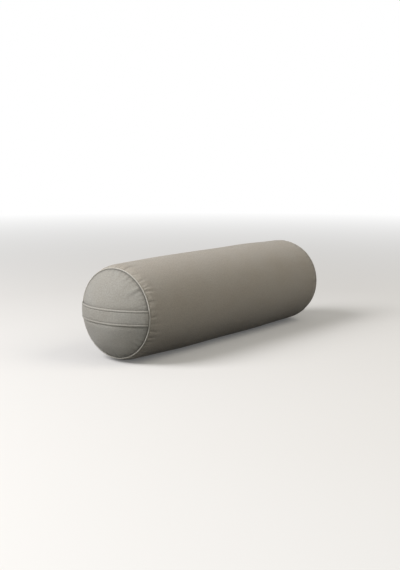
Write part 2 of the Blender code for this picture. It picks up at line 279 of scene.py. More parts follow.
def canvas(name, colour, turn=0.0):
    """Cotton canvas of one colour. The weave is turned by an angle, which a bias cut needs."""
    made, tree, shader = start_material(name, sheen=0.18, specular=0.25)
    place = attribute(tree, "cloth", "Vector")
    if turn:
        spin = {"Vector": place, "Angle": turn}
        place = add_node(tree, "VectorRotate", spin, rotation_type="Z_AXIS").outputs[0]
    yarns = weave(tree, place, WEAVE_PITCH)
    streaks = slubs(tree, place)
    cloud = noise_at(tree, place, 14.0, detail=4.0)
    grain = noise_at(tree, place, 260.0, roughness=0.7)
    fuzz = noise_at(tree, place, 2600.0, detail=2.0)
    tint = add_node(tree, "Mix", {"Factor": ramp(tree, cloud, 0.35, 0.65, 0.0, 1.0)}, data_type="RGBA")
    for socket, tone in ((6, WARMER), (7, COOLER)):
        toned = [part * share for part, share in zip(colour, tone)]
        tint.inputs[socket].default_value = (*toned, 1.0)
    shades = (
        ramp(tree, yarns, *WEAVE_SPAN, 0.90, 1.05),
        ramp(tree, grain, 0.35, 0.65, 0.90, 1.10),
        varied(tree, streaks, 0.93, 1.07),
        varied(tree, cloud, 0.965, 1.035),
        # Painted shade darkens creases, seams and undersides; wear and painted highlight make the canvas
        # paler.
        ramp(tree, attribute(tree, "painted_shade", "Fac"), 0.0, 1.0, 1.0, DARKEST_PAINTED_SHADE),
        ramp(tree, attribute(tree, "wear_and_highlight", "Fac"), 0.0, 1.0, 1.0, PALEST_WEAR_AND_HIGHLIGHT),
    )
    paint(tree, shader, tint.outputs[2], *shades)
    height = maths(tree, "MULTIPLY_ADD", streaks, 0.8, yarns)
    height = maths(tree, "MULTIPLY_ADD", grain, 1.2, height)
    height = maths(tree, "MULTIPLY_ADD", fuzz, 0.35, height)
    roughen(tree, shader, varied(tree, streaks, 0.80, 0.94), height, WEAVE_RELIEF)
    return made


piping_grey = [part * PIPING_PALER for part in END_GREY]
BODY_CANVAS = canvas("body canvas", BODY_GREY_LIT_WARM)
END_CANVAS = canvas("end canvas", END_GREY)
PIPING_CANVAS = canvas("piping canvas", piping_grey, turn=math.pi / 4)
STRAP_CANVAS = canvas("strap canvas", END_GREY)
print("canvases:", [made.name for made in (BODY_CANVAS, END_CANVAS, PIPING_CANVAS, STRAP_CANVAS)])

# %% [markdown]
# ## Thread, tape and lining
# Thread is two plies twisted together, which shows as slanting bands along every stitch. Zip tape is
# a fine, tight weave, and calico a thin, open one in unbleached cotton with dark flecks of seed.
# They share the weave helper with the canvas, at other pitches.

# %% Make the sewing materials
TWIST_LENGTH = 0.0007
THREAD_RELIEF = 0.00006


def thread(name, colour):
    """Twisted sewing thread: slanting bands along each stitch."""
    made, tree, shader = start_material(name, sheen=0.1, specular=0.4)
    split = add_node(tree, "SeparateXYZ", {0: attribute(tree, "cloth", "Vector")})
    twist = maths(tree, "MULTIPLY_ADD", split.outputs["X"], math.tau / TWIST_LENGTH, split.outputs["Y"])
    bands = maths(tree, "SINE", twist)
    paint(tree, shader, colour, ramp(tree, bands, -1.0, 1.0, 0.78, 1.08))
    roughen(tree, shader, ramp(tree, bands, -1.0, 1.0, 0.75, 0.6), bands, THREAD_RELIEF)
    return made


def plain_cloth(name, colour, pitch, relief, flecks):
    """A thin woven cloth, such as calico or the tape of a zip. Its flecks are darker by a share."""
    made, tree, shader = start_material(name, sheen=0.1, specular=0.25)
    place = attribute(tree, "cloth", "Vector")
    yarns = weave(tree, place, pitch)
    specks = noise_at(tree, place, 700.0, detail=1.0)
    shades = (
        ramp(tree, yarns, *WEAVE_SPAN, 0.86, 1.06),
        varied(tree, slubs(tree, place), 0.94, 1.06),
        ramp(tree, specks, 0.70, 0.78, 1.0, 1.0 - flecks),
    )
    paint(tree, shader, colour, *shades)
    roughen(tree, shader, ramp(tree, yarns, *WEAVE_SPAN, 0.95, 0.82), yarns, relief)
    return made


SEWING_THREAD = thread("sewing thread", (0.27, 0.26, 0.232))
CALICO_CLOTH = plain_cloth("calico", (0.70, 0.65, 0.54), pitch=0.0006, relief=0.00012, flecks=0.5)
ZIP_TAPE_CLOTH = plain_cloth("zip tape", (0.215, 0.205, 0.188), pitch=0.0005, relief=0.0001, flecks=0.1)
PIPING_COTTON = plain_cloth("cotton cord", (0.74, 0.71, 0.63), pitch=0.0008, relief=0.0002, flecks=0.1)
cloths = (CALICO_CLOTH, ZIP_TAPE_CLOTH, PIPING_COTTON)
print("thread and cloths:", SEWING_THREAD.name, [made.name for made in cloths])

# %% [markdown]
# ## Filling
# Two fillings lie inside, out of sight. Batting is a web of fine fibres that cling in soft clouds, so
# its colour and its bump come from noise of two sizes. Foam is a field of burst cells, which is what
# a Voronoi texture draws.

# %% Make the filling materials
BATTING_RELIEF = 0.0012
FOAM_RELIEF = 0.0006
CELL_SPAN = (0.05, 0.6)


def fibres(name, colour):
    """Cotton batting: long soft fibres over broad clouds."""
    made, tree, shader = start_material(name, sheen=0.35, specular=0.1)
    place = add_node(tree, "TexCoord").outputs["Object"]
    long_fibre = noise_at(tree, place, (60.0, 1400.0, 1400.0), detail=4.0, roughness=0.7)
    cloud = noise_at(tree, place, 35.0, detail=4.0)
    paint(tree, shader, colour, varied(tree, long_fibre, 0.86, 1.08), varied(tree, cloud, 0.9, 1.06))
    height = maths(tree, "MULTIPLY_ADD", cloud, 2.0, long_fibre)
    roughen(tree, shader, varied(tree, cloud, 0.9, 1.0), height, BATTING_RELIEF)
    return made


def open_cells(name, colour):
    """Cut foam: small burst cells with painted shade in their hollows."""
    made, tree, shader = start_material(name, specular=0.2)
    place = add_node(tree, "TexCoord").outputs["Object"]
    cells = add_node(tree, "TexVoronoi", {"Vector": place, "Scale": 900.0}).outputs["Distance"]
    paint(tree, shader, colour, ramp(tree, cells, *CELL_SPAN, 0.72, 1.05))
    roughen(tree, shader, ramp(tree, cells, *CELL_SPAN, 1.0, 0.85), cells, FOAM_RELIEF)
    return made


BATTING_FIBRE = fibres("cotton batting", (0.66, 0.60, 0.49))
FOAM_CELLS = open_cells("firm foam", (0.78, 0.70, 0.44))
print("fillings:", [made.name for made in (BATTING_FIBRE, FOAM_CELLS)])

# %% [markdown]
# ## Zip metal and nylon
# The slider and its pull are nickel plated. Plating is bright, but handling leaves fine scratches and
# a duller bloom, so noise stretched along the zip drives the roughness. The coil is dyed nylon wire,
# which is smooth and slightly glossy.

# %% Make the zip materials
SCRATCH_RELIEF = 0.00001
NYLON_RELIEF = 0.00002


def plated(name, colour):
    """Nickel plate with fine scratches along the zip."""
    made, tree, shader = start_material(name, metallic=1.0)
    place = add_node(tree, "TexCoord").outputs["Object"]
    scratch = noise_at(tree, place, (300.0, 9000.0, 9000.0), detail=2.0)
    bloom = noise_at(tree, place, 400.0)
    paint(tree, shader, colour, varied(tree, bloom, 0.9, 1.04), ramp(tree, scratch, 0.4, 0.6, 0.96, 1.03))
    rough = maths(tree, "MULTIPLY_ADD", scratch, 0.12, varied(tree, bloom, 0.16, 0.34))
    roughen(tree, shader, rough, scratch, SCRATCH_RELIEF)
    return made


def nylon(name, colour):
    """Dyed nylon wire with a faint drawn grain."""
    made, tree, shader = start_material(name)
    place = add_node(tree, "TexCoord").outputs["Object"]
    grain = noise_at(tree, place, 2500.0, detail=2.0)
    paint(tree, shader, colour, varied(tree, grain, 0.88, 1.08))
    roughen(tree, shader, varied(tree, grain, 0.32, 0.46), grain, NYLON_RELIEF)
    return made


NICKEL_PLATE = plated("nickel plate", (0.40, 0.385, 0.36))
COIL_NYLON = nylon("coil nylon", (0.225, 0.215, 0.198))
print("zip materials:", [made.name for made in (NICKEL_PLATE, COIL_NYLON)])

# %% [markdown]
# ## Floor and sky
# The bolster lies on a plain pale floor. The floor is pale only where the camera sees it, straight or
# in a mirror: for light that bounces it is darker, which keeps the underside dark without a stronger
# lamp anywhere else. Far off, the floor fades to white. The sky is white to the camera in the same
# way, and a soft grey light to everything else.

# %% Lay the floor and hang the sky
FLOOR_SIZE = 60.0
FLOOR_PALE = (0.80, 0.79, 0.77, 1.0)
FLOOR_DIM = (0.06, 0.058, 0.055, 1.0)
FADE_FROM, FADE_TO = 0.9, 4.2
GLOW_NEAR = 0.1
WHITE = (1.0, 1.0, 1.0, 1.0)
SKY_COLOUR = (1.0, 0.985, 0.955, 1.0)
SKY_STRENGTH = 0.24


def seen_light(tree):
    """1 for light that the camera sees, straight, mirrored or through glass, and 0 for the rest."""
    paths = add_node(tree, "LightPath").outputs
    seen = maths(tree, "MAXIMUM", paths["Is Camera Ray"], paths["Is Glossy Ray"])
    return maths(tree, "MAXIMUM", seen, paths["Is Transmission Ray"])


def floor_material():
    """Pale to the camera, darker to bounced light, and white far off."""
    made = bpy.data.materials.new("pale floor")
    made.use_nodes = True
    tree = made.node_tree
    tree.nodes.clear()
    pale = add_node(tree, "BsdfDiffuse", {"Color": FLOOR_PALE})
    dim = add_node(tree, "BsdfDiffuse", {"Color": FLOOR_DIM})
    white = add_node(tree, "Emission", {"Color": WHITE, "Strength": 1.0})
    place = add_node(tree, "NewGeometry").outputs["Position"]
    far = add_node(tree, "VectorMath", {0: place}, operation="LENGTH").outputs["Value"]
    fade = ramp(tree, far, FADE_FROM, FADE_TO, 0.0, 1.0)
    fade = maths(tree, "MULTIPLY_ADD", fade, 1 - GLOW_NEAR, GLOW_NEAR)
    shown = add_node(tree, "MixShader", {0: fade, 1: pale.outputs[0], 2: white.outputs[0]})
    both = add_node(tree, "MixShader", {0: seen_light(tree), 1: dim.outputs[0], 2: shown.outputs[0]})
    add_node(tree, "OutputMaterial", {"Surface": both.outputs[0]})
    return made


def lay_floor():
    """One big square that belongs to the stage and not to the bolster."""
    side = FLOOR_SIZE / 2
    corners = [(-side, -side, 0.0), (side, -side, 0.0), (side, side, 0.0), (-side, side, 0.0)]
    mesh = bpy.data.meshes.new("floor")
    mesh.from_pydata(corners, [], [(0, 1, 2, 3)])
    mesh.materials.append(floor_material())
    floor = bpy.data.objects.new("floor", mesh)
    bpy.context.scene.collection.objects.link(floor)


def hang_sky():
    """A plain grey sky for light, and a white one for the camera."""
    world = bpy.data.worlds.new("studio")
    bpy.context.scene.world = world
    world.use_nodes = True
    tree = world.node_tree
    tree.nodes.clear()
    soft = add_node(tree, "Background", {"Color": SKY_COLOUR, "Strength": SKY_STRENGTH})
    white = add_node(tree, "Background", {"Color": WHITE, "Strength": 1.0})
    both = add_node(tree, "MixShader", {0: seen_light(tree), 1: soft.outputs[0], 2: white.outputs[0]})
    add_node(tree, "OutputWorld", {"Surface": both.outputs[0]})


lay_floor()
hang_sky()
print("floor", FLOOR_SIZE, "m wide, white from", FADE_TO, "m on")

# %% [markdown]
# ## Lamps
# A broad lamp high on the left lights the near end and the top, and two weaker ones fill the side and
# the foot of the near end. They are large, so their shadows are soft, and nearly white, so the canvas
# shows about the colour that it has. The view transform is the plain one for the same reason.

# %% Light the bolster
LAMPS = (
    ("key lamp", (-2.6, 1.35, 2.5), 2.0, 133.0, (0.99, 0.98, 1.0)),
    ("fill lamp", (0.9, -2.3, 2.6), 2.2, 37.5, (1.0, 0.95, 0.84)),
    ("low lamp", (-2.6, -0.7, 0.45), 0.8, 11.0, (1.0, 1.0, 0.93)),
)


def add_lamp(name, place, size, power, colour):
    """A square lamp that looks at the bolster's middle."""
    data = bpy.data.lights.new(name, "AREA")
    data.shape = "SQUARE"
    data.size = size
    data.energy = power
    data.color = colour
    lamp = bpy.data.objects.new(name, data)
    lamp.location = place
    aim = Vector((0.0, 0.0, AXIS_HEIGHT)) - Vector(place)
    lamp.rotation_euler = aim.to_track_quat("-Z", "Y").to_euler()
    bpy.context.scene.collection.objects.link(lamp)


for lamp in LAMPS:
    add_lamp(*lamp)
bpy.context.scene.view_settings.view_transform = "Standard"
print("lamps:", [name for name, *_ in LAMPS])

# %% [markdown]
# ## Points and what they carry
# A mesh is a list of points, and shaping cloth is arithmetic on all of them at once, so these helpers
# read and write them as arrays. A mesh can also carry a number or a place at every point under a
# name. The materials read three: cloth is the point's place on the flat cloth, in metres, one tells
# where the canvas is darker with painted shade in creases, seams and under parts, and one tells where
# it is paler from wear and painted highlight.

# %% Helpers for points
def points_of(mesh):
    """The places of a mesh's points."""
    values = np.zeros(len(mesh.vertices) * 3, np.float32)
    mesh.vertices.foreach_get("co", values)
    return values.reshape(-1, 3).astype(float)


def set_points(piece, points):
    """Moves a piece's points to new places."""
    piece.data.vertices.foreach_set("co", np.asarray(points, np.float32).ravel())
    piece.data.update()


def normals_of(piece):
    """The way out of the surface at a piece's points."""
    values = np.zeros(len(piece.data.vertices) * 3, np.float32)
    piece.data.vertex_normals.foreach_get("vector", values)
    return values.reshape(-1, 3).astype(float)


def carry(piece, name, values):
    """Stores a number or a place at every point of a piece, for its material to read."""
    values = np.asarray(values, np.float32)
    kind, key = ("FLOAT_VECTOR", "vector") if values.ndim == 2 else ("FLOAT", "value")
    stored = piece.data.attributes.get(name) or piece.data.attributes.new(name, kind, "POINT")
    stored.data.foreach_set(key, values.ravel())


def carried_places(piece, name):
    """The places that a piece carries at its points."""
    stored = piece.data.attributes[name].data
    values = np.zeros(len(stored) * 3, np.float32)
    stored.foreach_get("vector", values)
    return values.reshape(-1, 3).astype(float)


# %% [markdown]
# ## Meshes from grids
# Every sewn panel of the bolster is a sheet, and a sheet is a grid of points. One helper numbers the
# points of such a grid and another joins its rows and columns with faces. The one that makes the mesh
# also sees to it that faces look outwards, which thickness, pressure and puckers all go by.

# %% Helpers for meshes
def numbered(rows, columns, rows_join=False, columns_join=False):
    """Point numbers of a grid, whose last row or column may join the first."""
    index = np.arange(rows * columns).reshape(rows, columns)
    index = np.vstack([index, index[:1]]) if rows_join else index
    return np.hstack([index, index[:, :1]]) if columns_join else index


def faces_between(index):
    """Four-cornered faces between the rows and columns of a grid of point numbers."""
    corners = (index[:-1, :-1], index[:-1, 1:], index[1:, 1:], index[1:, :-1])
    return np.stack(corners, -1).reshape(-1, 4).tolist()


def enclosed(points, faces):
    """Volume between the faces and the bolster's middle. It is negative if they face inwards."""
    fans = [(face[0], one, two) for face in faces for one, two in zip(face[1:], face[2:])]
    corner = (np.asarray(points) - (0.0, 0.0, AXIS_HEIGHT))[np.array(fans)]
    return np.einsum("ij,ij->", corner[:, 0], np.cross(corner[:, 1], corner[:, 2])) / 6


def mesh_object(name, points, faces, cloth):
    """A smooth mesh that faces outwards, with the place of each point on the flat cloth."""
    if enclosed(points, faces) < 0:
        faces = [face[::-1] for face in faces]
    mesh = bpy.data.meshes.new(name)
    mesh.from_pydata(points.tolist(), [], faces)
    made = bpy.data.objects.new(name, mesh)
    bpy.context.scene.collection.objects.link(made)
    flat = np.zeros((len(points), 3))
    flat[:, :2] = cloth
    carry(made, "cloth", flat)
    mesh.shade_smooth()
    return made


# %% [markdown]
# A panel is made coarse, because the cloth simulation wants it so. Then it is rounded and subdivided
# for the puckers, and last it gets the canvas's thickness. Every piece ends in the same way: it gets
# its material, the solids that it stands for are hidden, and it is tied to the body that it moves with.

# %% Helpers for finishing a piece
def make_permanent(piece):
    """Puts what the modifiers show into the mesh itself."""
    graph = bpy.context.evaluated_depsgraph_get()
    shown = piece.evaluated_get(graph)
    mesh = bpy.data.meshes.new_from_object(shown, preserve_all_data_layers=True, depsgraph=graph)
    old = piece.data
    piece.modifiers.clear()
    piece.data = mesh
    bpy.data.meshes.remove(old)


def smoothed(piece):
    """Rounds and subdivides a panel once, keeping its edges."""
    smooth = piece.modifiers.new("Smooth", "SUBSURF")
    smooth.levels = smooth.render_levels = 1
    make_permanent(piece)


def thickened(piece, thickness):
    """Gives a sheet a thickness that goes inwards."""
    solid = piece.modifiers.new("Cloth thickness", "SOLIDIFY")
    solid.thickness = thickness
    solid.offset = -1.0


def place_piece(piece, material, slot, body, *nodes):
    """Gives a piece its material, hides the solids that it stands for, and ties it to its body."""
    piece.data.materials.clear()
    piece.data.materials.append(material)
    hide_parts(*nodes)
    if body:
        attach(piece, body)
    print(piece.name, "stands for", ", ".join(nodes) or "nothing", len(piece.data.vertices), "points")


# %% [markdown]
# ## Curves that shapes are made of
# Puckers, hems and shoulders are sums of three simple curves: a smooth step, a bell, and one that
# fades with distance. Round pieces are turned about the bolster's axis, which runs along X through
# the middle of the tube.

# %% Helpers for shapes
def ease(value, low, high):
    """0 below low, 1 above high, and a smooth step between them."""
    share = np.clip((np.asarray(value, float) - low) / (high - low), 0.0, 1.0)
    return share * share * (3 - 2 * share)


def bell(distance, width):
    """1 at no distance, and almost nothing at twice the width on either side."""
    return np.exp(-((distance / width) ** 2))


def fading(distance, length):
    """1 at no distance, and about a third of that for every length further on."""
    return np.exp(-distance / length)


def gridded(*parts):
    """Joins grids of numbers into a grid of places. A part may be one row or one column."""
    return np.stack(np.broadcast_arrays(*parts), -1)


def about_axis(x, radius, turn):
    """Places from how far they are along the bolster, away from its axis and around it."""
    return gridded(x, radius * np.cos(turn), AXIS_HEIGHT + radius * np.sin(turn))


def from_axis(points):
    """How far each point is from the bolster's axis."""
    return np.hypot(points[:, 1], points[:, 2] - AXIS_HEIGHT)


def turned_out(points, amount):
    """Points moved straight away from the bolster's axis, by a share of their distance to it."""
    moved = points.copy()
    moved[:, 1] *= 1 + amount
    moved[:, 2] = AXIS_HEIGHT + (points[:, 2] - AXIS_HEIGHT) * (1 + amount)
    return moved


# %% [markdown]
# ## Stuffing swells the cloth
# Cloth that is stuffed hard isn't a clean curve: it bulges where it can and is held where it is sewn.
# Blender's Cloth with pressure does this. The seams are pinned, the cloth is cut slightly larger
# than the space it is sewn into, and a pressure from inside pushes it out for twenty frames. No
# point may then move further than a few millimetres, so the bolster keeps its size.

# %% Let a panel swell
SWELL_FRAMES = 20
SWELL_QUALITY = 6
SWELL_PRESSURE = 4.0
CANVAS_STIFFNESS = 0.8


def swell(piece, held, as_cut, most):
    """Simulates a stuffed panel with its seams held, and keeps what it became."""
    start = points_of(piece.data)
    piece.shape_key_add(name="as sewn")
    cut = piece.shape_key_add(name="as cut")
    cut.data.foreach_set("co", np.asarray(as_cut, np.float32).ravel())
    seams = piece.vertex_groups.new(name="seams")
    seams.add([int(point) for point in np.flatnonzero(held)], 1.0, "REPLACE")
    cloth = piece.modifiers.new("Swell", "CLOTH")
    settings = cloth.settings
    settings.quality = SWELL_QUALITY
    settings.vertex_group_mass = "seams"
    settings.rest_shape_key = cut
    settings.use_pressure = True
    settings.uniform_pressure_force = SWELL_PRESSURE
    settings.bending_stiffness = CANVAS_STIFFNESS
    settings.effector_weights.gravity = 0.0
    cloth.collision_settings.use_collision = False
    cloth.point_cache.frame_start = 1
    cloth.point_cache.frame_end = SWELL_FRAMES
    for frame_number in range(1, SWELL_FRAMES + 1):
        bpy.context.scene.frame_set(frame_number)
    graph = bpy.context.evaluated_depsgraph_get()
    moved = points_of(piece.evaluated_get(graph).to_mesh()) - start
    piece.modifiers.clear()
    piece.shape_key_clear()
    piece.vertex_groups.clear()
    bpy.context.scene.frame_set(1)
    far = np.linalg.norm(moved, axis=1)
    kept = moved * (most * np.tanh(far / most) / np.maximum(far, 1e-9))[:, None]
    set_points(piece, start + kept)
    print(piece.name, "swelled by up to", round(far.max() * 1000, 2), "mm, kept", round(most * 1000, 1))


# %% [markdown]
# ## Puckers
# A seam holds cloth to a shorter line than the cloth is long, so next to it the cloth stands up in
# small folds that run straight away from the seam. Each pucker here is a furrow with a ridge beside
# it. It starts just off the seam, is deepest a few millimetres in, and dies out along its length.
# On the near end the puckers stand where the light shows them best, and the rest are scattered.

# %% Shape a row of puckers
PUCKER_RISE = 0.003
PUCKER_FADE = 1.3
RIDGE_BESIDE = 1.7
PUCKER_SLANTS = (-0.2, 0.2)
PUCKER_GAPS = (0.6, 1.5)


def pucker_depth(puckers, away, along, loop, ridge_height):
    """Height at each point, from its distance away from the seam and its place along it."""
    height = np.zeros(len(away))
    for place, length, depth, width, slant in puckers:
        grown = ease(away, 0.0, PUCKER_RISE) * np.clip(1 - away / length, 0.0, 1.0) ** PUCKER_FADE
        beside = (along - place - slant * away + loop / 2) % loop - loop / 2
        wide = width * (1 + away / length)
        ridge = bell(beside - RIDGE_BESIDE * wide, wide)
        height += grown * depth * (ridge_height * ridge - bell(beside, wide))
    return height


def scattered_puckers(draw, loop, spacing, spans):
    """Puckers all along a seam, with uneven gaps. The spans are those of length, depth and width."""
    made = []
    place = draw.uniform(0.0, spacing)
    while place < loop:
        slant = draw.uniform(*PUCKER_SLANTS)
        made.append((place, *[draw.uniform(*span) for span in spans], slant))
        place += spacing * draw.uniform(*PUCKER_GAPS)
    return made


# %% [markdown]
# Filling that is pushed in by hand is never quite even. A few long waves that cross each other give
# that unevenness, and a seed makes them come out the same in every run.

# %% Shape soft lumps
LUMP_WAVES = 7
WAVE_SPREAD = (0.7, 1.6)


def soft_lumps(points, size, height, seed):
    """Broad, shallow unevenness of the filling, from a few crossed waves."""
    draw = random.Random(seed)
    total = np.zeros(len(points))
    for _ in range(LUMP_WAVES):
        direction = np.array([draw.uniform(-1, 1) for _ in range(3)])
        direction /= np.linalg.norm(direction)
        turns = math.tau / (size * draw.uniform(*WAVE_SPREAD))
        total += np.sin(points @ direction * turns + draw.uniform(0, math.tau))
    return height * total / math.sqrt(LUMP_WAVES)


# %% [markdown]
# ## The zip's line
# The zip lies along the back of the tube. Its place is read off the hinge of the pull: the hinge's
# axis gives the direction across the zip, and turning that by a quarter gives the way out of the
# cloth. The tube of canvas begins and ends at this line, so it has to be known before the tube.

# %% Find the zip's line
TUBE_FACES = 28
swing = next(joint for joint in frame["joints"] if joint["name"] == "zip_pull_swing")
ZIP_ACROSS = Vector((0.0, -swing["axis"][1], -swing["axis"][2]))
ZIP_OUT = Vector((0.0, swing["axis"][2], -swing["axis"][1]))
ZIP_ANGLE = math.atan2(ZIP_OUT.z, ZIP_OUT.y)
ZIP_FLAT = TUBE_RADIUS * math.cos(math.pi / TUBE_FACES)
ZIP_MIDDLE = Vector((0.0, 0.0, AXIS_HEIGHT)) + ZIP_OUT * ZIP_FLAT
SLOT_HALF_WIDTH = 0.00425
SLOT_HALF_LENGTH = 0.2435
SEAM_GAP = 0.0003
print("zip at", round(math.degrees(ZIP_ANGLE), 2), "degrees above the back")

# %% [markdown]
# ## The body panel
# One rectangle of canvas makes the whole tube. Its long edges are turned under and meet at the zip,
# and its short edges are gathered into the round seams. It could be a cylinder with a slot cut in it,
# but then the slot would have no folded edges, so the grid starts at one zip edge and goes all the
# way round to the other. Rows are close together near the seams, where the puckers are and where the
# stuffed cloth stands up against the piping before it dives into the seam.

# %% Lay out the tube
SHOULDER_LENGTH = 0.113
SHOULDER_POWER = 7.0
TURN_IN_STEPS = (0.003, CANVAS_TURN_IN)
SEAM_STEPS = (0.0, 0.0007, 0.0022)
FINE_STEP = 0.005
FINE_LENGTH = 0.045
SEAM_HUG, HUG_LENGTH = 0.0012, 0.0045
COARSE_STEP = 0.018
TUBE_COLUMNS = 184
EDGE_STEPS = (0.0, 0.0007, 0.0022, 0.0048, 0.0080)
EDGE_ROLL = 0.0009
SLOT_CLOSES = 0.007
WAIST_DEPTH = 0.0022
WAIST_FROM, WAIST_TO = 0.05, 0.20


def waist(x):
    """How much slimmer than in its middle the tube is, towards its ends."""
    return WAIST_DEPTH * (1 - ease(SEAM_PLACE - np.abs(x), WAIST_FROM, WAIST_TO))


def tube_radius(x):
    """Radius of the stuffed tube at x: full along the zip and drawn in to each seam."""
    inward = np.clip(SEAM_PLACE - np.abs(x), 0.0, SHOULDER_LENGTH)
    drawn_in = (1 - inward / SHOULDER_LENGTH) ** SHOULDER_POWER
    return TUBE_RADIUS - (TUBE_RADIUS - SEAM_RADIUS) * drawn_in


def tube_rows():
    """Places along the tube with their radius, and beyond each seam the edge that is turned in."""
    fine = np.concatenate([SEAM_STEPS, np.arange(FINE_STEP, FINE_LENGTH, FINE_STEP)])
    middle = TUBE_END - FINE_LENGTH
    coarse = np.linspace(-middle, middle, round(2 * middle / COARSE_STEP) + 1)
    x = np.concatenate([-TUBE_END + fine, coarse, (TUBE_END - fine)[::-1]])
    radius = tube_radius(x) + SEAM_HUG * fading(TUBE_END - np.abs(x), HUG_LENGTH)
    radius[0] = radius[-1] = SEAM_RADIUS
    turned_in = SEAM_RADIUS - np.array(TURN_IN_STEPS)
    x = np.concatenate([[-TUBE_END] * 2, x, [TUBE_END] * 2])
    radius = np.concatenate([turned_in[::-1], radius, turned_in])
    return x, radius


def slot_edge(x):
    """Half the gap between the panel's two long edges: open at the zip and closed beyond it."""
    closed = ease(np.abs(x), SLOT_HALF_LENGTH, SLOT_HALF_LENGTH + SLOT_CLOSES)
    return SLOT_HALF_WIDTH + (SEAM_GAP / 2 - SLOT_HALF_WIDTH) * closed


def lay_out_tube():
    """The grid of the tube: its points and their places on the flat cloth."""
    x, radius = tube_rows()
    edge = slot_edge(x) / radius
    steps = np.array(EDGE_STEPS) / TUBE_RADIUS
    sides = [edge[:, None] + steps[None, :], math.tau - edge[:, None] - steps[None, ::-1]]
    first, last = sides[0][:, -1:], sides[1][:, :1]
    share = np.linspace(0.0, 1.0, TUBE_COLUMNS)[1:-1]
    turn = np.hstack([sides[0], first + (last - first) * share, sides[1]])
    roll = np.zeros(turn.shape[1])
    roll[[0, -1]] = EDGE_ROLL
    out = radius[:, None] - roll[None, :]
    points = about_axis(x[:, None], out, ZIP_ANGLE + turn)
    run = np.concatenate([[0.0], np.cumsum(np.hypot(np.diff(x), np.diff(radius)))])
    run -= run[-1] / 2
    return points, gridded(run[:, None], turn * TUBE_RADIUS)


# %% [markdown]
# Behind both seams the tube puckers, and a row of stitches sinks a line beside the zip. Furrows and
# seams are darker, which is painted shade. The folded edges along the zip are worn by every hand that
# opens it.

# %% Pucker the tube
TUBE_LOOP = math.tau * TUBE_RADIUS
PUCKER_SPACING = 0.0125
TUBE_PUCKER_SPANS = ((0.020, 0.060), (0.0003, 0.0014), (0.0021, 0.0036))
TUBE_RIDGE = 0.45
STITCH_FROM_EDGE = 0.0045
SUNK_DEPTH, SUNK_WIDTH = 0.00035, 0.0011
ROW_HALF_LENGTH = 0.2515
SHADED_FOLD_DEPTH, FOLD_SHADE = 0.0020, 0.4
SEAM_SHADE, SEAM_SHADE_WIDTH = 0.25, 0.0010
EDGE_SHADE, EDGE_WEAR, EDGE_WIDTH = 0.6, 0.6, 0.0012


def pucker_body(body):
    """Puckers behind both seams, a sunk line beside the zip, and painted shade in furrows and seams."""
    flat = carried_places(body, "cloth")
    points = points_of(body.data)
    height = np.zeros(len(points))
    painted_shade = np.zeros(len(points))
    outside = from_axis(points) > SEAM_RADIUS - CANVAS
    for side, end in ENDS.items():
        draw = random.Random("body " + end)
        puckers = scattered_puckers(draw, TUBE_LOOP, PUCKER_SPACING, TUBE_PUCKER_SPANS)
        away = np.maximum(TUBE_END - side * points[:, 0], 0.0)
        folds = pucker_depth(puckers, away, flat[:, 1], TUBE_LOOP, TUBE_RIDGE) * outside
        height += folds
        # Painted shade: the furrows, the end seams and the closed seam beyond the zip are darker.
        painted_shade += np.clip(-folds / SHADED_FOLD_DEPTH, 0.0, FOLD_SHADE)
        painted_shade += SEAM_SHADE * fading(away, SEAM_SHADE_WIDTH)
    along = np.abs(flat[:, 0])
    from_edge = np.minimum(flat[:, 1], TUBE_LOOP - flat[:, 1])
    stitched = bell(from_edge - SLOT_HALF_WIDTH - STITCH_FROM_EDGE, SUNK_WIDTH)
    height -= SUNK_DEPTH * stitched * (along < ROW_HALF_LENGTH)
    painted_shade += EDGE_SHADE * bell(from_edge, EDGE_WIDTH) * (along > SLOT_HALF_LENGTH)
    set_points(body, points + normals_of(body) * height[:, None])
    carry(body, "painted_shade", np.clip(painted_shade, 0.0, 1.0))
    carry(body, "wear_and_highlight", EDGE_WEAR * bell(from_edge - SLOT_HALF_WIDTH, EDGE_WIDTH))


# %% [markdown]
# The tube is now blown up, subdivided, puckered and pressed flat where it rests. The order matters:
# the simulation wants a coarse, even mesh, and the puckers want a fine one. The filling is rolled
# firmest round the middle, so the tube is slightly slimmer towards its ends, before the shoulders
# that the end seams draw in. The floor comes last, as it does for the real thing.

# %% Make the body panel
HELD_ROWS, HELD_COLUMNS = 5, 3
FREE_FROM_SEAM, FREE_FROM_ZIP = (0.002, 0.04), (0.002, 0.03)
TUBE_LUMPS = (0.16, 0.0003, 3)
TUBE_EASE = 0.012
TUBE_SWELL = 0.0020
TUBE_UNDERFILL = 0.0020
EVEN_FROM_END = 0.041


def blow_up_tube(body, points, cloth):
    """Lets the tube swell between its seams and the zip, from slightly underfilled to full."""
    held = np.zeros(points.shape[:2], bool)
    held[:HELD_ROWS] = held[-HELD_ROWS:] = True
    held[:, :HELD_COLUMNS] = held[:, -HELD_COLUMNS:] = True
    start = points.reshape(-1, 3)
    around = cloth[..., 1].ravel()
    from_zip = np.minimum(around, TUBE_LOOP - around) - SLOT_HALF_WIDTH
    free = ease(TUBE_END - np.abs(start[:, 0]), *FREE_FROM_SEAM) * ease(from_zip, *FREE_FROM_ZIP)
    slack = (soft_lumps(start, *TUBE_LUMPS) - TUBE_UNDERFILL - waist(start[:, 0])) * free
    set_points(body, turned_out(start, slack / TUBE_RADIUS))
    swell(body, held.ravel(), turned_out(start, TUBE_EASE), TUBE_SWELL)


def even_out_weave(body):
    """Takes the weave's place along the tube from the points, because smoothing slid some rows along."""
    flat = carried_places(body, "cloth")
    along = points_of(body.data)[:, 0]
    straight = np.abs(along) < TUBE_END - EVEN_FROM_END
    flat[straight, 0] = along[straight]
    carry(body, "cloth", flat)


def press_on_floor(piece):
    """Lifts every point that is under the floor onto it."""
    points = points_of(piece.data)
    points[:, 2] = np.maximum(points[:, 2], 0.0)
    set_points(piece, points)


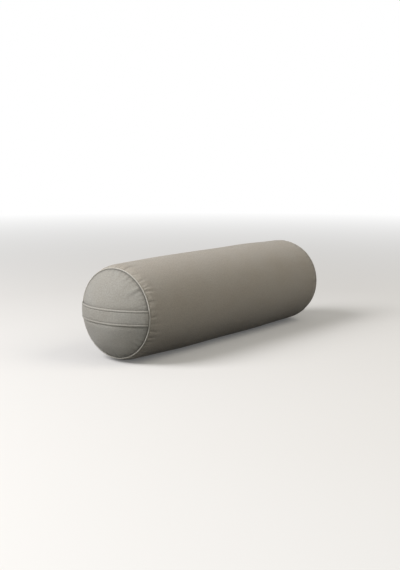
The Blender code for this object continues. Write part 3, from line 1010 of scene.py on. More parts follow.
def make_body():
    """The long panel of the cover, from its flat layout to its finished shape."""
    points, cloth = lay_out_tube()
    faces = faces_between(numbered(*points.shape[:2]))
    body = mesh_object("body_canvas", points.reshape(-1, 3), faces, cloth.reshape(-1, 2))
    blow_up_tube(body, points, cloth)
    smoothed(body)
    even_out_weave(body)
    pucker_body(body)
    press_on_floor(body)
    thickened(body, CANVAS)
    place_piece(body, BODY_CANVAS, "body_canvas", "root", "body_panel")
    return body


body = make_body()

# %% [markdown]
# ## The end panels
# Each end is one round of canvas that the filling pushes out into a low dome. The strap presses a
# shallow channel across the middle, and at the rim the cloth dives into the seam beside the piping.
# The grid is polar: its spokes follow the puckers that run in from the rim.

# %% Lay out the domes
SPOKES = 150
RINGS = 29
DOME_POWER = 2.15
DOME_FULLNESS = 0.95
STRAP_HALF = (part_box("left_handle")[1].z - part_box("left_handle")[0].z) / 2
CHANNEL_DEPTH = 0.0010
CHANNEL_INSIDE, CHANNEL_OUTSIDE = 0.001, 0.006
BANK_HEIGHT, BANK_PLACE, BANK_WIDTH = 0.0004, 0.009, 0.007
RIM_PUFF, PUFF_RISE, PUFF_LENGTH = 0.0003, 0.002, 0.016
DIVE_DEPTH, DIVE_LENGTH = 0.0009, 0.0030
RIM_PLACE = DOME_START + 0.0004
LIP_SPREAD = 0.03


def dome_height(share):
    """Height of the dome over its rim, from 0 at the rim, where share is 1, to 1 at its middle."""
    return (1 - np.clip(share, 0.0, 1.0) ** DOME_POWER) ** DOME_FULLNESS


def end_surface(radius, up):
    """How far out along X the panel's cloth is, from its distance to the axis and to the middle line."""
    base = DOME_START + CANVAS
    out = base + (DOME_TOP - base) * dome_height(radius / SEAM_RADIUS)
    inward = SEAM_RADIUS - radius
    puff = RIM_PUFF * (1 - fading(inward, PUFF_RISE)) * fading(inward, PUFF_LENGTH)
    beside = np.abs(up)
    strapped = 1 - ease(beside, STRAP_HALF - CHANNEL_INSIDE, STRAP_HALF + CHANNEL_OUTSIDE)
    bank = BANK_HEIGHT * bell(beside - STRAP_HALF - BANK_PLACE, BANK_WIDTH)
    dive = DIVE_DEPTH * fading(inward, DIVE_LENGTH)
    return out + puff * (1 - strapped) - CHANNEL_DEPTH * strapped + bank - dive


def on_end(side, out, across, up):
    """Places on an end, from how far out, across and up they are."""
    return gridded(side * out, side * across, AXIS_HEIGHT + up)


def polar_object(name, points, flat, middle):
    """A round sheet: a fan at its middle and rings of faces out to its rim."""
    rings, spokes = points.shape[:2]
    index = numbered(rings, spokes, columns_join=True)
    faces = faces_between(index)
    centre = rings * spokes
    faces += [[centre, int(index[0, spoke + 1]), int(index[0, spoke])] for spoke in range(spokes)]
    places = np.vstack([points.reshape(-1, 3), middle])
    return mesh_object(name, places, faces, np.vstack([flat.reshape(-1, 2), (0.0, 0.0)]))


def lay_out_end(side):
    """The round sheet of one end: its rings are closest together at the rim, where it turns in."""
    rings = SEAM_RADIUS * np.sin(np.linspace(0.0, math.pi / 2, RINGS + 1)[1:])
    turn = np.linspace(0.0, math.tau, SPOKES, endpoint=False)
    across = rings[:, None] * np.cos(turn)
    up = rings[:, None] * np.sin(turn)
    out = end_surface(np.repeat(rings[:, None], SPOKES, 1), up)
    out[-1] = RIM_PLACE
    run = np.cumsum(np.hypot(np.diff(rings, prepend=0.0), np.diff(out.mean(1), prepend=DOME_TOP)))
    flat = gridded(run[:, None] * np.cos(turn), run[:, None] * np.sin(turn))
    sheet = [on_end(side, out, across, up)]
    sheet_flat = [flat]
    for number, step in enumerate(TURN_IN_STEPS, start=1):
        radius = SEAM_RADIUS - step
        lip = on_end(side, DOME_START, radius * np.cos(turn), radius * np.sin(turn))
        sheet.append(lip[None])
        sheet_flat.append(flat[-1:] * (1 + LIP_SPREAD * number))
    middle = (side * (DOME_TOP - CHANNEL_DEPTH), 0.0, AXIS_HEIGHT)
    name = ENDS[side] + "_end_canvas"
    return polar_object(name, np.concatenate(sheet), np.concatenate(sheet_flat), middle)


print("dome", round(DOME_TOP - DOME_START, 4), "high, strap", round(2 * STRAP_HALF, 4), "wide")

# %% [markdown]
# The round is cut flat and slightly too large, so towards the seam it has more cloth than the seam
# has room for, and this goes into puckers. The strap was sewn on before the cover was filled, so the
# cloth under it stays where it is. On the near end the puckers are listed one by one: each has its
# angle in degrees, from the panel's right-hand side and up over its top, and then its length, depth
# and width in millimetres.

# %% Swell and pucker an end
END_EASE = 0.014
END_SWELL = 0.0011
END_LUMPS = (0.07, 0.0004)
LUMPY_SHARE = 0.95
HELD_MIDDLE = 0.02
END_RIDGE = 0.75
SPARED_INSIDE, SPARED_OUTSIDE = 0.003, 0.004
SEAM_SLACK = 0.0002
END_SHADED_FOLD_DEPTH, END_FOLD_SHADE = 0.0014, 0.45
RIM_SHADE_WIDTH = 0.0020
BESIDE_STRAP_SHADE, BESIDE_STRAP_SHADE_WIDTH = 0.5, 0.0016
RIDGE_HEIGHT, RIDGE_WEAR_AND_HIGHLIGHT = 0.0012, 0.6
FAR_PUCKER_SPACING = 0.014
FAR_PUCKER_SPANS = ((0.010, 0.032), (0.0003, 0.0011), (0.0018, 0.0028))
NEAR_END_PUCKERS = (
    (38, 36, 1.04, 3.8), (31, 20, 0.43, 2.8), (25, 16, 0.36, 2.5), (18, 26, 0.32, 2.8),
    (12, 12, 0.22, 2.5), (46, 16, 0.32, 2.8), (54, 26, 0.43, 3.1), (62, 22, 0.65, 3.0),
    (69, 14, 0.36, 2.8), (76, 20, 0.43, 2.8), (82, 12, 0.25, 2.5), (88, 26, 0.36, 2.8),
    (97, 13, 0.25, 2.5), (112, 11, 0.22, 2.5), (134, 12, 0.16, 2.8), (158, 10, 0.14, 2.5),
    (-16, 14, 0.25, 2.5), (-24, 16, 0.29, 2.5), (-33, 18, 0.40, 2.8), (-42, 24, 0.58, 3.0),
    (-51, 18, 0.47, 2.8), (-60, 12, 0.29, 2.5), (-68, 16, 0.36, 2.5), (-77, 12, 0.29, 2.4),
    (-84, 24, 0.72, 2.5), (-92, 15, 0.40, 2.4), (-101, 16, 0.36, 2.5), (-116, 15, 0.32, 2.8),
    (-131, 18, 0.32, 2.9), (-150, 10, 0.20, 2.5),
)


def blow_up_end(panel, side):
    """Lets the round swell with its rim held. It is cut a little larger than its seam."""
    start = points_of(panel.data)
    held = np.zeros(len(start), bool)
    held[(RINGS - 1) * SPOKES : (RINGS + len(TURN_IN_STEPS)) * SPOKES] = True
    radius = from_axis(start)
    under_strap = np.abs(start[:, 2] - AXIS_HEIGHT) < STRAP_HALF
    lumpy = ~held * (radius < LUMPY_SHARE * SEAM_RADIUS)
    wobble = soft_lumps(start, *END_LUMPS, 11 + side) * lumpy
    started = start.copy()
    started[:, 0] += side * wobble
    set_points(panel, started)
    held |= under_strap & (radius < HELD_MIDDLE)
    swell(panel, held, turned_out(start, END_EASE), END_SWELL)


def end_puckers(side, loop):
    """The puckers of one end: those listed for the near one, scattered ones on the far one."""
    if side == RIGHT:
        return scattered_puckers(random.Random("far end"), loop, FAR_PUCKER_SPACING, FAR_PUCKER_SPANS)
    made = []
    for angle, length, depth, width in NEAR_END_PUCKERS:
        place = math.radians(angle) * SEAM_RADIUS % loop
        made.append((place, length / 1000, depth / 1000, width / 1000, 0.0))
    return made


def pucker_end(panel, side):
    """Puckers that run in from the rim and die out before the strap, with painted shade in their furrows.
    """
    points = points_of(panel.data)
    across, up = side * points[:, 1], points[:, 2] - AXIS_HEIGHT
    away = np.maximum(SEAM_RADIUS - np.hypot(across, up), 0.0)
    loop = math.tau * SEAM_RADIUS
    along = (np.arctan2(up, across) % math.tau) * SEAM_RADIUS
    outside = np.abs(points[:, 0]) > DOME_START + CANVAS / 2
    folds = pucker_depth(end_puckers(side, loop), away, along, loop, END_RIDGE) * outside
    folds *= ease(np.abs(up), STRAP_HALF - SPARED_INSIDE, STRAP_HALF + SPARED_OUTSIDE)
    points = points + normals_of(panel) * folds[:, None]
    too_wide = (SEAM_RADIUS + SEAM_SLACK) / np.maximum(from_axis(points), 0.01) - 1
    set_points(panel, turned_out(points, np.minimum(too_wide, 0.0)))
    # Painted shade in the furrows, along the rim and beside the strap; wear and painted highlight on the
    # ridges.
    beside_strap = BESIDE_STRAP_SHADE * bell(np.abs(up) - STRAP_HALF, BESIDE_STRAP_SHADE_WIDTH)
    in_folds = np.clip(-folds / END_SHADED_FOLD_DEPTH, 0.0, END_FOLD_SHADE)
    painted_shade = in_folds + fading(away, RIM_SHADE_WIDTH) + beside_strap
    carry(panel, "painted_shade", np.clip(painted_shade, 0.0, 1.0))
    carry(panel, "wear_and_highlight", np.clip(folds / RIDGE_HEIGHT, 0.0, RIDGE_WEAR_AND_HIGHLIGHT))


# %% [markdown]
# Both ends are made by the same steps as the tube: laid out, blown up, smoothed and puckered.

# %% Make the end panels
def make_end(side):
    """The domed panel of one end, from its layout to its finished shape."""
    panel = lay_out_end(side)
    blow_up_end(panel, side)
    smoothed(panel)
    pucker_end(panel, side)
    thickened(panel, CANVAS)
    place_piece(panel, END_CANVAS, "end_canvas", "root", ENDS[side] + "_end_panel")
    return panel


end_panels = {side: make_end(side) for side in ENDS}

# %% [markdown]
# ## The piping
# A cotton cord in a folded strip of canvas runs round each seam, with the strip's two raw edges
# caught in the seam. A section turned about the bolster's axis makes it: the outside of the strip,
# its two tails, and back round its inside. The strip is cut on the bias, so that it bends round the
# seam without creasing, and it is never perfectly even, so the ring wavers by a few hundredths of a
# millimetre.

# %% Turn the piping's sections
PIPING_RADIUS = 0.0015
PIPING_CLOTH = 0.0005
PIPING_RING = SEAM_RADIUS + PIPING_RADIUS
PIPING_INSIDE = PIPING_RADIUS - PIPING_CLOTH
PIPING_WAVER = 0.00006
WAVER_WAVES = ((3, 0.4, 1.0), (7, 1.1, 0.6), (17, 0.0, 0.4))
CORD_REACH = 0.001
TAIL_HALF = PIPING_CLOTH + SEAM_GAP / 2
PIPING_STEPS = 16
CORD_STEPS = 11
RING_STEPS = 320


def arc(size, start, end, steps):
    """Points round a circle of a section, where 0 degrees points along the bolster."""
    angle = np.radians(np.linspace(start, end, steps + 1))
    return gridded(size * np.cos(angle), PIPING_RING + size * np.sin(angle))


def run_round(section):
    """How far along a closed outline each of its points is."""
    lengths = np.hypot(*np.diff(section, axis=0, append=section[:1]).T)
    return np.concatenate([[0.0], np.cumsum(lengths)[:-1]])


def ring_object(name, points, cloth):
    """A closed tube: both its rows and its columns join up."""
    faces = faces_between(numbered(*points.shape[:2], rows_join=True, columns_join=True))
    return mesh_object(name, points.reshape(-1, 3), faces, cloth.reshape(-1, 2))


def turn_section(name, section, centre, waver=0.0):
    """Turns a closed section of (along, radius) about the axis, at a place along the bolster."""
    turn = np.linspace(0.0, math.tau, RING_STEPS, endpoint=False)[:, None]
    drift = waver * sum(size * np.sin(turn * waves + start) for waves, start, size in WAVER_WAVES)
    near_cord = ease(section[:, 1], SEAM_RADIUS - CORD_REACH, SEAM_RADIUS + CORD_REACH)
    points = about_axis(centre + section[:, 0], section[:, 1] + drift * near_cord, turn)
    return ring_object(name, points, gridded(turn * PIPING_RING, run_round(section)))


def strip_section():
    """The folded strip's section: round the outside, a tail, back round the inside, the other tail."""
    open_outside = math.degrees(math.asin(TAIL_HALF / PIPING_RADIUS))
    open_inside = math.degrees(math.asin(SEAM_GAP / 2 / PIPING_INSIDE))
    foot = SEAM_RADIUS - CANVAS_TURN_IN
    outside = arc(PIPING_RADIUS, open_outside - 90, 270 - open_outside, PIPING_STEPS)
    inside = arc(PIPING_INSIDE, 270 - open_inside, open_inside - 90, PIPING_STEPS)
    left_tail = [(-TAIL_HALF, foot), (-SEAM_GAP / 2, foot)]
    right_tail = [(SEAM_GAP / 2, foot), (TAIL_HALF, foot)]
    return np.vstack([outside, left_tail, inside, right_tail])


# %% [markdown]
# The strip's ends lap over each other somewhere round the ring, which shows as a slight thickening
# with a line of painted shade at both sides. Painted shade lies where the piping meets the panels, and
# the piping is paler all round, from wear and painted highlight.

# %% Make the piping
PIPING_JOIN = math.radians(-52)
LAP_FULL, LAP_LINE, LAP_GONE = 0.004, 0.0045, 0.005
LAP_THICKNESS = 0.00022
LAP_SHADE, LAP_LINE_WIDTH = 0.7, 0.0006
FOOT_SHADE, FOOT_HEIGHT = 0.8, 0.0010
PIPING_WEAR_AND_HIGHLIGHT = 0.6


def lap_piping(cover):
    """Thickens the piping where the strip's ends lap, and paints shade at the lap's lines and the foot.
    """
    points = points_of(cover.data)
    turn = np.arctan2(points[:, 2] - AXIS_HEIGHT, points[:, 1])
    from_join = (turn - PIPING_JOIN) * PIPING_RING
    lapped = ease(from_join, -LAP_GONE, -LAP_FULL) * (1 - ease(from_join, LAP_FULL, LAP_GONE))
    away = gridded(0.0, np.cos(turn), np.sin(turn))
    radius = from_axis(points)
    set_points(cover, points + away * (LAP_THICKNESS * lapped * (radius > PIPING_RING))[:, None])
    # Painted shade at the lap's lines and at the piping's foot; wear and painted highlight all round.
    line = LAP_SHADE * bell(np.abs(from_join) - LAP_LINE, LAP_LINE_WIDTH)
    foot = FOOT_SHADE * (1 - ease(radius, SEAM_RADIUS, SEAM_RADIUS + FOOT_HEIGHT))
    carry(cover, "painted_shade", np.maximum(line, foot))
    carry(cover, "wear_and_highlight", np.full(len(points), PIPING_WEAR_AND_HIGHLIGHT))


def make_piping(side):
    """The strip and the cord in it, round one seam."""
    end, centre = ENDS[side], side * SEAM_PLACE
    cover = turn_section(end + "_piping", strip_section(), centre, waver=PIPING_WAVER)
    lap_piping(cover)
    place_piece(cover, PIPING_CANVAS, "piping_canvas", "root", end + "_piping_cover")
    cord = turn_section(end + "_piping_core", arc(PIPING_INSIDE - SEAM_GAP, 0, 330, CORD_STEPS), centre)
    place_piece(cord, PIPING_COTTON, "cotton_cord", "root", end + "_piping_cord")


for side in ENDS:
    make_piping(side)

# %% [markdown]
# ## The straps
# Each handle is a flat strap of the same canvas, with both long edges folded in and stitched down.
# The folds make raised hems on both sides of a thinner middle. It is a closed outline carried along
# the dome from seam to seam. How high the dome stands under every point is asked of the finished end
# panel with a ray, so the strap lies on the cloth wherever the filling pushed it.

# %% Find the cloth under a strap
STRAP_CLEARANCE = 0.0003
STRAP_END_CLEARANCE = 0.0002
STRAP_ROWS = 120
BED_COLUMNS = 9
RAY_START = 0.1


def surface_tree(piece):
    """What a ray can hit of a piece, as its modifiers show it."""
    graph = bpy.context.evaluated_depsgraph_get()
    return BVHTree.FromObject(piece, graph)


def look_at_end(tree, side, across, up):
    """What a ray along the bolster meets at a place on its end: the point and the way out there."""
    origin = Vector((side * (DOME_TOP + RAY_START), across, AXIS_HEIGHT + up))
    return tree.ray_cast(origin, Vector((-side, 0.0, 0.0)))[:2]


def strap_bed(side, tree):
    """Height of the cloth under the strap, for places across the end and up the strap."""
    reach = SEAM_RADIUS - STRAP_END_CLEARANCE
    ups = np.linspace(-STRAP_HALF, STRAP_HALF, BED_COLUMNS)
    shares = np.linspace(-1.0, 1.0, STRAP_ROWS)
    bed = np.zeros((STRAP_ROWS, BED_COLUMNS))
    for row, share in enumerate(shares):
        for column, up in enumerate(ups):
            hit = look_at_end(tree, side, share * math.sqrt(reach**2 - up**2), up)[0]
            bed[row, column] = abs(hit.x) if hit else DOME_START
    padded = np.pad(bed, ((1, 1), (0, 0)), mode="edge")
    neighbours = [padded[shift : shift + STRAP_ROWS] for shift in range(3)]
    return shares, ups, np.max(neighbours, axis=0)


# %% [markdown]
# The outline below is the strap's section: its place across the strap and its height, both in
# millimetres. It goes over the top, with a hem at each side and a stitched groove beside it, and back
# along the flat underside. Towards both seams the strap is squeezed thinner and tucked down beside
# the piping.

# %% Make the straps
STRAP_TUCK, TUCK_LENGTH = 0.0008, 0.005
SQUEEZED, SQUEEZE_LENGTH = 0.5, 0.006
STITCH_LINE = 0.01285
GROOVE_SHADE, GROOVE_WIDTH = 0.9, 0.0007
HEM_WEAR_AND_HIGHLIGHT, HEM_FROM, HEM_TO = 0.9, 0.0130, 0.0140
UNDER_SHADE, UNDER_BELOW, TOP_ABOVE = 0.4, 0.0005, 0.0008
STRAP_END_SHADE, STRAP_END_SHADE_WIDTH = 0.5, 0.0010
STRAP_OUTLINE_MM = (
    (-17.50, 0.90), (-17.40, 1.32), (-17.15, 1.65), (-16.60, 1.80), (-15.20, 1.84), (-13.80, 1.80),
    (-13.25, 1.45), (-12.85, 0.92), (-12.45, 1.10), (-11.60, 1.26), (-9.00, 1.32), (-4.50, 1.34),
    (0.00, 1.34), (4.50, 1.34), (9.00, 1.32), (11.60, 1.26), (12.45, 1.10), (12.85, 0.92),
    (13.25, 1.45), (13.80, 1.80), (15.20, 1.84), (16.60, 1.80), (17.15, 1.65), (17.40, 1.32),
    (17.50, 0.90), (17.38, 0.45), (16.90, 0.10), (15.00, 0.00), (7.50, 0.00), (0.00, 0.00),
    (-7.50, 0.00), (-15.00, 0.00), (-16.90, 0.10), (-17.38, 0.45),
)
outline = np.array(STRAP_OUTLINE_MM) / 1000
STRAP_UP, STRAP_LIFT = outline[:, 0], outline[:, 1]


def reach_to_piping(out):
    """How far from the axis the strap's end may go at a height, so that it meets the piping's side."""
    over = np.clip(np.abs(out - SEAM_PLACE), 0.0, PIPING_RADIUS)
    beside = PIPING_RING - np.sqrt(PIPING_RADIUS**2 - over**2)
    return np.maximum(beside, SEAM_RADIUS) - STRAP_END_CLEARANCE


def closed_sweep(name, points, cloth):
    """A tube whose rows are closed outlines, with flat ends."""
    rows, columns = points.shape[:2]
    faces = faces_between(numbered(rows, columns, columns_join=True))
    faces.append(list(range(columns))[::-1])
    faces.append(list(range((rows - 1) * columns, rows * columns)))
    return mesh_object(name, points.reshape(-1, 3), faces, cloth.reshape(-1, 2))


def shade_and_wear_strap(strap, from_end):
    """Painted shade in the stitched grooves, underneath and at the ends; wear and painted highlight on
    the raised hems.
    """
    # Painted shade in the grooves, on the underside and at the tucked ends.
    on_top = STRAP_LIFT > TOP_ABOVE
    groove = GROOVE_SHADE * bell(np.abs(STRAP_UP) - STITCH_LINE, GROOVE_WIDTH) * on_top
    underside = UNDER_SHADE * (STRAP_LIFT < UNDER_BELOW)
    at_ends = STRAP_END_SHADE * fading(from_end, STRAP_END_SHADE_WIDTH)
    painted_shade = (groove + underside)[None, :] + at_ends[:, None]
    carry(strap, "painted_shade", np.clip(painted_shade, 0.0, 1.0).ravel())
    hem = HEM_WEAR_AND_HIGHLIGHT * ease(np.abs(STRAP_UP), HEM_FROM, HEM_TO) * on_top
    carry(strap, "wear_and_highlight", np.tile(hem, len(from_end)))


def make_strap(side):
    """One strap: its outline carried from seam to seam over the cloth under it."""
    end = ENDS[side]
    shares, ups, bed = strap_bed(side, surface_tree(end_panels[side]))
    under = np.array([np.interp(STRAP_UP, ups, row) for row in bed])
    at_end = under[[0, -1]].max(0) + STRAP_CLEARANCE + STRAP_LIFT / 2 - STRAP_TUCK
    half = np.sqrt(reach_to_piping(at_end) ** 2 - STRAP_UP**2)
    across = shares[:, None] * half[None, :]
    from_end = (1 - np.abs(shares)) * SEAM_RADIUS
    thick = SQUEEZED + (1 - SQUEEZED) * ease(from_end, 0.0, SQUEEZE_LENGTH)
    tuck = STRAP_TUCK * (1 - ease(from_end, 0.0, TUCK_LENGTH))
    out = under + STRAP_CLEARANCE + STRAP_LIFT[None, :] * thick[:, None] - tuck[:, None]
    points = gridded(side * out, across, AXIS_HEIGHT + STRAP_UP)
    run = np.cumsum(np.hypot(*np.diff(outline, axis=0, prepend=outline[:1]).T))
    strap = closed_sweep(end + "_strap", points, gridded(across[:, :1], run[None, :]))
    shade_and_wear_strap(strap, from_end)
    place_piece(strap, STRAP_CANVAS, "strap_canvas", None, end + "_handle")
    return strap


straps = {side: make_strap(side) for side in ENDS}

# %% [markdown]
# ## Stitches
# A row of topstitching is many short lengths of thread that come up through the cloth and go down
# again. Each stitch is a small arched tube whose two ends are under the surface. A row is one mesh of
# such tubes along a line of points, and the line is found on the finished cloth with rays, so that no
# stitch floats.

# %% Helper for rows of stitches
STITCH_LENGTH = 0.0034
STITCH_PITCH = 0.0047
STITCH_RISE = 0.7
STITCH_SINK = 0.0003
STITCH_SIDES = 6
STITCH_RINGS = 7
THREAD_RADIUS = 0.00032


def unit(ways):
    """The same ways, each with a length of 1."""
    return ways / np.linalg.norm(ways, axis=1)[:, None]


def ring_round(one, other, sides):
    """Ways from a line to the corners of a ring round it, from two ways that cross the line."""
    turn = np.linspace(0.0, math.tau, sides, endpoint=False)[None, :, None]
    return one[:, None] * np.cos(turn) + other[:, None] * np.sin(turn)


def one_stitch(at, run, line, normals):
    """Points of one stitch, from the places along the line that it goes over."""
    share = np.linspace(-0.5, 0.5, STITCH_RINGS)
    centre = np.stack([np.interp(at, run, line[:, axis]) for axis in range(3)], -1)
    out = unit(np.stack([np.interp(at, run, normals[:, axis]) for axis in range(3)], -1))
    beside = np.cross(unit(np.gradient(centre, axis=0)), out)
    arched = THREAD_RADIUS * STITCH_RISE * np.cos(share * math.pi)
    sunk = STITCH_SINK * (2 * np.abs(share)) ** 4
    centre = centre + out * (arched - sunk)[:, None]
    slim = THREAD_RADIUS * np.sqrt(np.clip(1.02 - (2 * share) ** 6, 0.02, 1.0))
    return centre[:, None] + ring_round(out, beside, STITCH_SIDES) * slim[:, None, None]


def stitch_row(name, line, normals):
    """Stitches along a line of points that lies on the cloth, with the cloth's normals there."""
    line, normals = np.asarray(line), np.asarray(normals)
    steps = np.linalg.norm(np.diff(line, axis=0), axis=1)
    run = np.concatenate([[0.0], np.cumsum(steps)])
    share = np.linspace(-0.5, 0.5, STITCH_RINGS)
    turn = np.linspace(0.0, math.tau, STITCH_SIDES, endpoint=False)
    places, faces, flat = [], [], []
    for stitch in range(int(run[-1] / STITCH_PITCH)):
        at = (stitch + 0.5) * STITCH_PITCH + share * STITCH_LENGTH
        index = numbered(STITCH_RINGS, STITCH_SIDES, columns_join=True)
        index += stitch * STITCH_RINGS * STITCH_SIDES
        places.append(one_stitch(at, run, line, normals))
        flat.append(gridded(at[:, None], turn[None, :]))
        faces += faces_between(index)
        faces += [index[0, :-1][::-1].tolist(), index[-1, :-1].tolist()]
    cloth = np.concatenate(flat).reshape(-1, 2)
    return mesh_object(name, np.concatenate(places).reshape(-1, 3), faces, cloth)


# %% [markdown]
# The strap has one row of stitches along each hem. The strap bends: its ends stay in the seam, and
# its middle lifts off when a hand goes under it. Here the strap and its stitches stay as they lie.

# %% Stitch the straps
LINE_STEPS = 160


def strap_line(side, tree, up):
    """Points on the strap's face along one stitch line, and the way out at each."""
    reach = math.sqrt((SEAM_RADIUS - STRAP_END_CLEARANCE) ** 2 - up**2) - 0.001
    met = [look_at_end(tree, side, across, up) for across in np.linspace(-reach, reach, LINE_STEPS)]
    return [point[:] for point, _ in met], [way[:] for _, way in met]


def lift_with_hand(piece):
    """Writes the placement of a piece of the handle into its points."""
    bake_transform(piece)


for side, strap in straps.items():
    strap_tree = surface_tree(strap)
    for row, up in (("upper", STITCH_LINE), ("lower", -STITCH_LINE)):
        stitches = stitch_row(f"{ENDS[side]}_strap_stitches_{row}", *strap_line(side, strap_tree, up))
        place_piece(stitches, SEWING_THREAD, "strap_canvas", None)
        lift_with_hand(stitches)
    lift_with_hand(strap)

# %% [markdown]
# ## Stitches beside the zip
# A row runs along each side of the zip, through the folded edge of the canvas and the tape under it,
# and a short row closes both ends. The line is found by sending rays from outside towards the axis.

# %% Stitch the zip in
ROW_STEPS, END_ROW_STEPS = 500, 12
RAY_HEIGHT, RAY_LENGTH = 0.05, 0.056


def on_tube(tree, x, around):
    """The point on the canvas at a place along the tube and around it from the zip, and the way out."""
    angle = ZIP_ANGLE + around / TUBE_RADIUS
    out = Vector((0.0, math.cos(angle), math.sin(angle)))
    middle = Vector((x, 0.0, AXIS_HEIGHT))
    hit, normal = tree.ray_cast(middle + out * (TUBE_RADIUS + RAY_HEIGHT), -out, RAY_LENGTH)[:2]
    if hit is None:
        return (middle + out * (TUBE_RADIUS - CANVAS / 2))[:], out[:]
    return hit[:], normal[:]


def zip_rows():
    """The four rows round the zip: their names and their places along and around the tube."""
    offset = SLOT_HALF_WIDTH + STITCH_FROM_EDGE
    lengthwise = np.linspace(-ROW_HALF_LENGTH, ROW_HALF_LENGTH, ROW_STEPS)
    crosswise = np.linspace(-offset, offset, END_ROW_STEPS)
    yield "upper", [(x, offset) for x in lengthwise]
    yield "lower", [(x, -offset) for x in lengthwise]
    yield "start", [(-ROW_HALF_LENGTH, around) for around in crosswise]
    yield "finish", [(ROW_HALF_LENGTH, around) for around in crosswise]


tube_tree = surface_tree(body)
for row, route in zip_rows():
    line, normals = zip(*[on_tube(tube_tree, x, around) for x, around in route])
    stitches = stitch_row("zip_stitches_" + row, line, normals)
    place_piece(stitches, SEWING_THREAD, "body_canvas", "root")

# %% [markdown]
# ## The zip's tapes and coils
# A coil zip is a woven tape with a nylon helix sewn along its edge. The tape lies flat under the
# coil, then climbs to the underside of the canvas that it is sewn to. It is a closed outline carried
# along the zip, in the zip's own axes: along it, across it and out of it.

# %% Make the tapes
CHAIN_HALF = SEAM_PLACE - SHOULDER_LENGTH
TAPE_START = 0.00055
TAPE_WIDTH = 0.0095
TAPE_THICKNESS = 0.0005
TAPE_TOP = -CANVAS - SEAM_GAP
TAPE_END = 0.008
TAPE_ROWS, TAPE_COLUMNS = 240, 20
ZIP_SIDES = (("upper", -1), ("lower", 1))
CLIMB_FROM, CLIMB_TO, CLIMB_HEIGHT = 0.0042, 0.0062, 0.0012


def on_zip(along, across, out):
    """A place in the zip's own axes, as a point of the bolster."""
    middle, sideways, outward = (np.array(axis) for axis in (ZIP_MIDDLE, ZIP_ACROSS, ZIP_OUT))
    along, across, out = np.broadcast_arrays(along, across, out)
    point = middle + across[..., None] * sideways + out[..., None] * outward
    point[..., 0] += along
    return point


def make_tape(name, side):
    """A strip of tape that is flat under the coil and rises to the canvas."""
    half = CHAIN_HALF + TAPE_END
    across = np.linspace(TAPE_START, TAPE_START + TAPE_WIDTH, TAPE_COLUMNS)
    under_canvas = np.sqrt((TUBE_RADIUS - CANVAS) ** 2 - across**2) - ZIP_FLAT - 0.0002
    climb = ease(across, CLIMB_FROM, CLIMB_TO)
    top = TAPE_TOP + (np.minimum(under_canvas, TAPE_TOP + CLIMB_HEIGHT) - TAPE_TOP) * climb
    along = np.linspace(-half, half, TAPE_ROWS)[:, None]
    loop_across = np.concatenate([across, across[::-1]])[None, :]
    loop_out = np.concatenate([top, (top - TAPE_THICKNESS)[::-1]])[None, :]
    points = on_zip(along, side * loop_across, loop_out)
    return closed_sweep(name, points, gridded(along, loop_across))


for row, side in ZIP_SIDES:
    tape = make_tape("zip_tape_cloth_" + row, side)
    place_piece(tape, ZIP_TAPE_CLOTH, "zip_tape", "root", "zip_tape_" + row)

# %% [markdown]
# Each coil is a round nylon wire wound into a flattened loop. A formula gives the wire's centre line,
# and a ring of points is swept along it. The two coils start half a turn apart, so that the loops of
# one lie between the loops of the other.

# %% Wind the coils
COIL_START = 0.00030
COIL_END = 0.00265
COIL_BOTTOM = TAPE_TOP + SEAM_GAP
COIL_HEIGHT = 0.0016
COIL_PITCH = 0.0016
COIL_WIRE = 0.00056
WIRE_SIDES = 6
TURN_STEPS = 12


def make_coil(name, side):
    """The nylon helix of one tape: a wire swept along a flattened spiral."""
    turns = int(2 * CHAIN_HALF / COIL_PITCH) - 1
    angle = np.linspace(0.0, math.tau * turns, turns * TURN_STEPS + 1)
    wide = (COIL_END - COIL_START - COIL_WIRE) / 2
    tall = (COIL_HEIGHT - COIL_WIRE) / 2
    phase = 0.0 if side > 0 else math.pi
    along = (angle / math.tau - turns / 2) * COIL_PITCH
    across = side * ((COIL_START + COIL_END) / 2 + wide * np.cos(angle + phase))
    out = COIL_BOTTOM + COIL_HEIGHT / 2 + tall * np.sin(angle + phase)
    centre = on_zip(along, across, out)
    ahead = unit(np.gradient(centre, axis=0))
    sideways = unit(np.cross(ahead, (1.0, 0.0, 0.0)))
    ring = ring_round(sideways, np.cross(sideways, ahead), WIRE_SIDES)
    points = centre[:, None] + ring * COIL_WIRE / 2
    return closed_sweep(name, points, np.zeros(points.shape[:2] + (2,)))


for row, side in ZIP_SIDES:
    coil = make_coil("zip_chain_" + row, side)
    place_piece(coil, COIL_NYLON, "zip_coil", "root", "zip_coil_" + row)

# %% [markdown]
# ## The zip's metal
# The stops are little clamps, and their solids are right: they only need plating. A small bevel
# catches the light on their edges, which plain boxes never do.

# %% Plate the stops
STOPS = ("zip_top_stop_upper", "zip_top_stop_lower", "zip_bottom_stop")
STOP_BEVEL = 0.00025

for name in STOPS:
    stop = frame["nodes"][name]
    stop.data.materials.clear()
    stop.data.materials.append(NICKEL_PLATE)
    edges = stop.modifiers.new("Worn edges", "BEVEL")
    edges.width = STOP_BEVEL
    edges.segments = 3
    edges.limit_method = "ANGLE"
print("plated", ", ".join(STOPS))

# %% [markdown]
# The slider and its pull are die cast, so their edges are round and their plates have soft corners.
# A flat curve is the quickest way to such a plate: its outline takes holes, a thickness and a rounded
# edge, and then it becomes a mesh. The outlines are in millimetres, in the zip's own axes. Their
# zero is the slider's middle or the pull's hinge.

# %% Helper for cast plates
CORNER_STEPS = 6


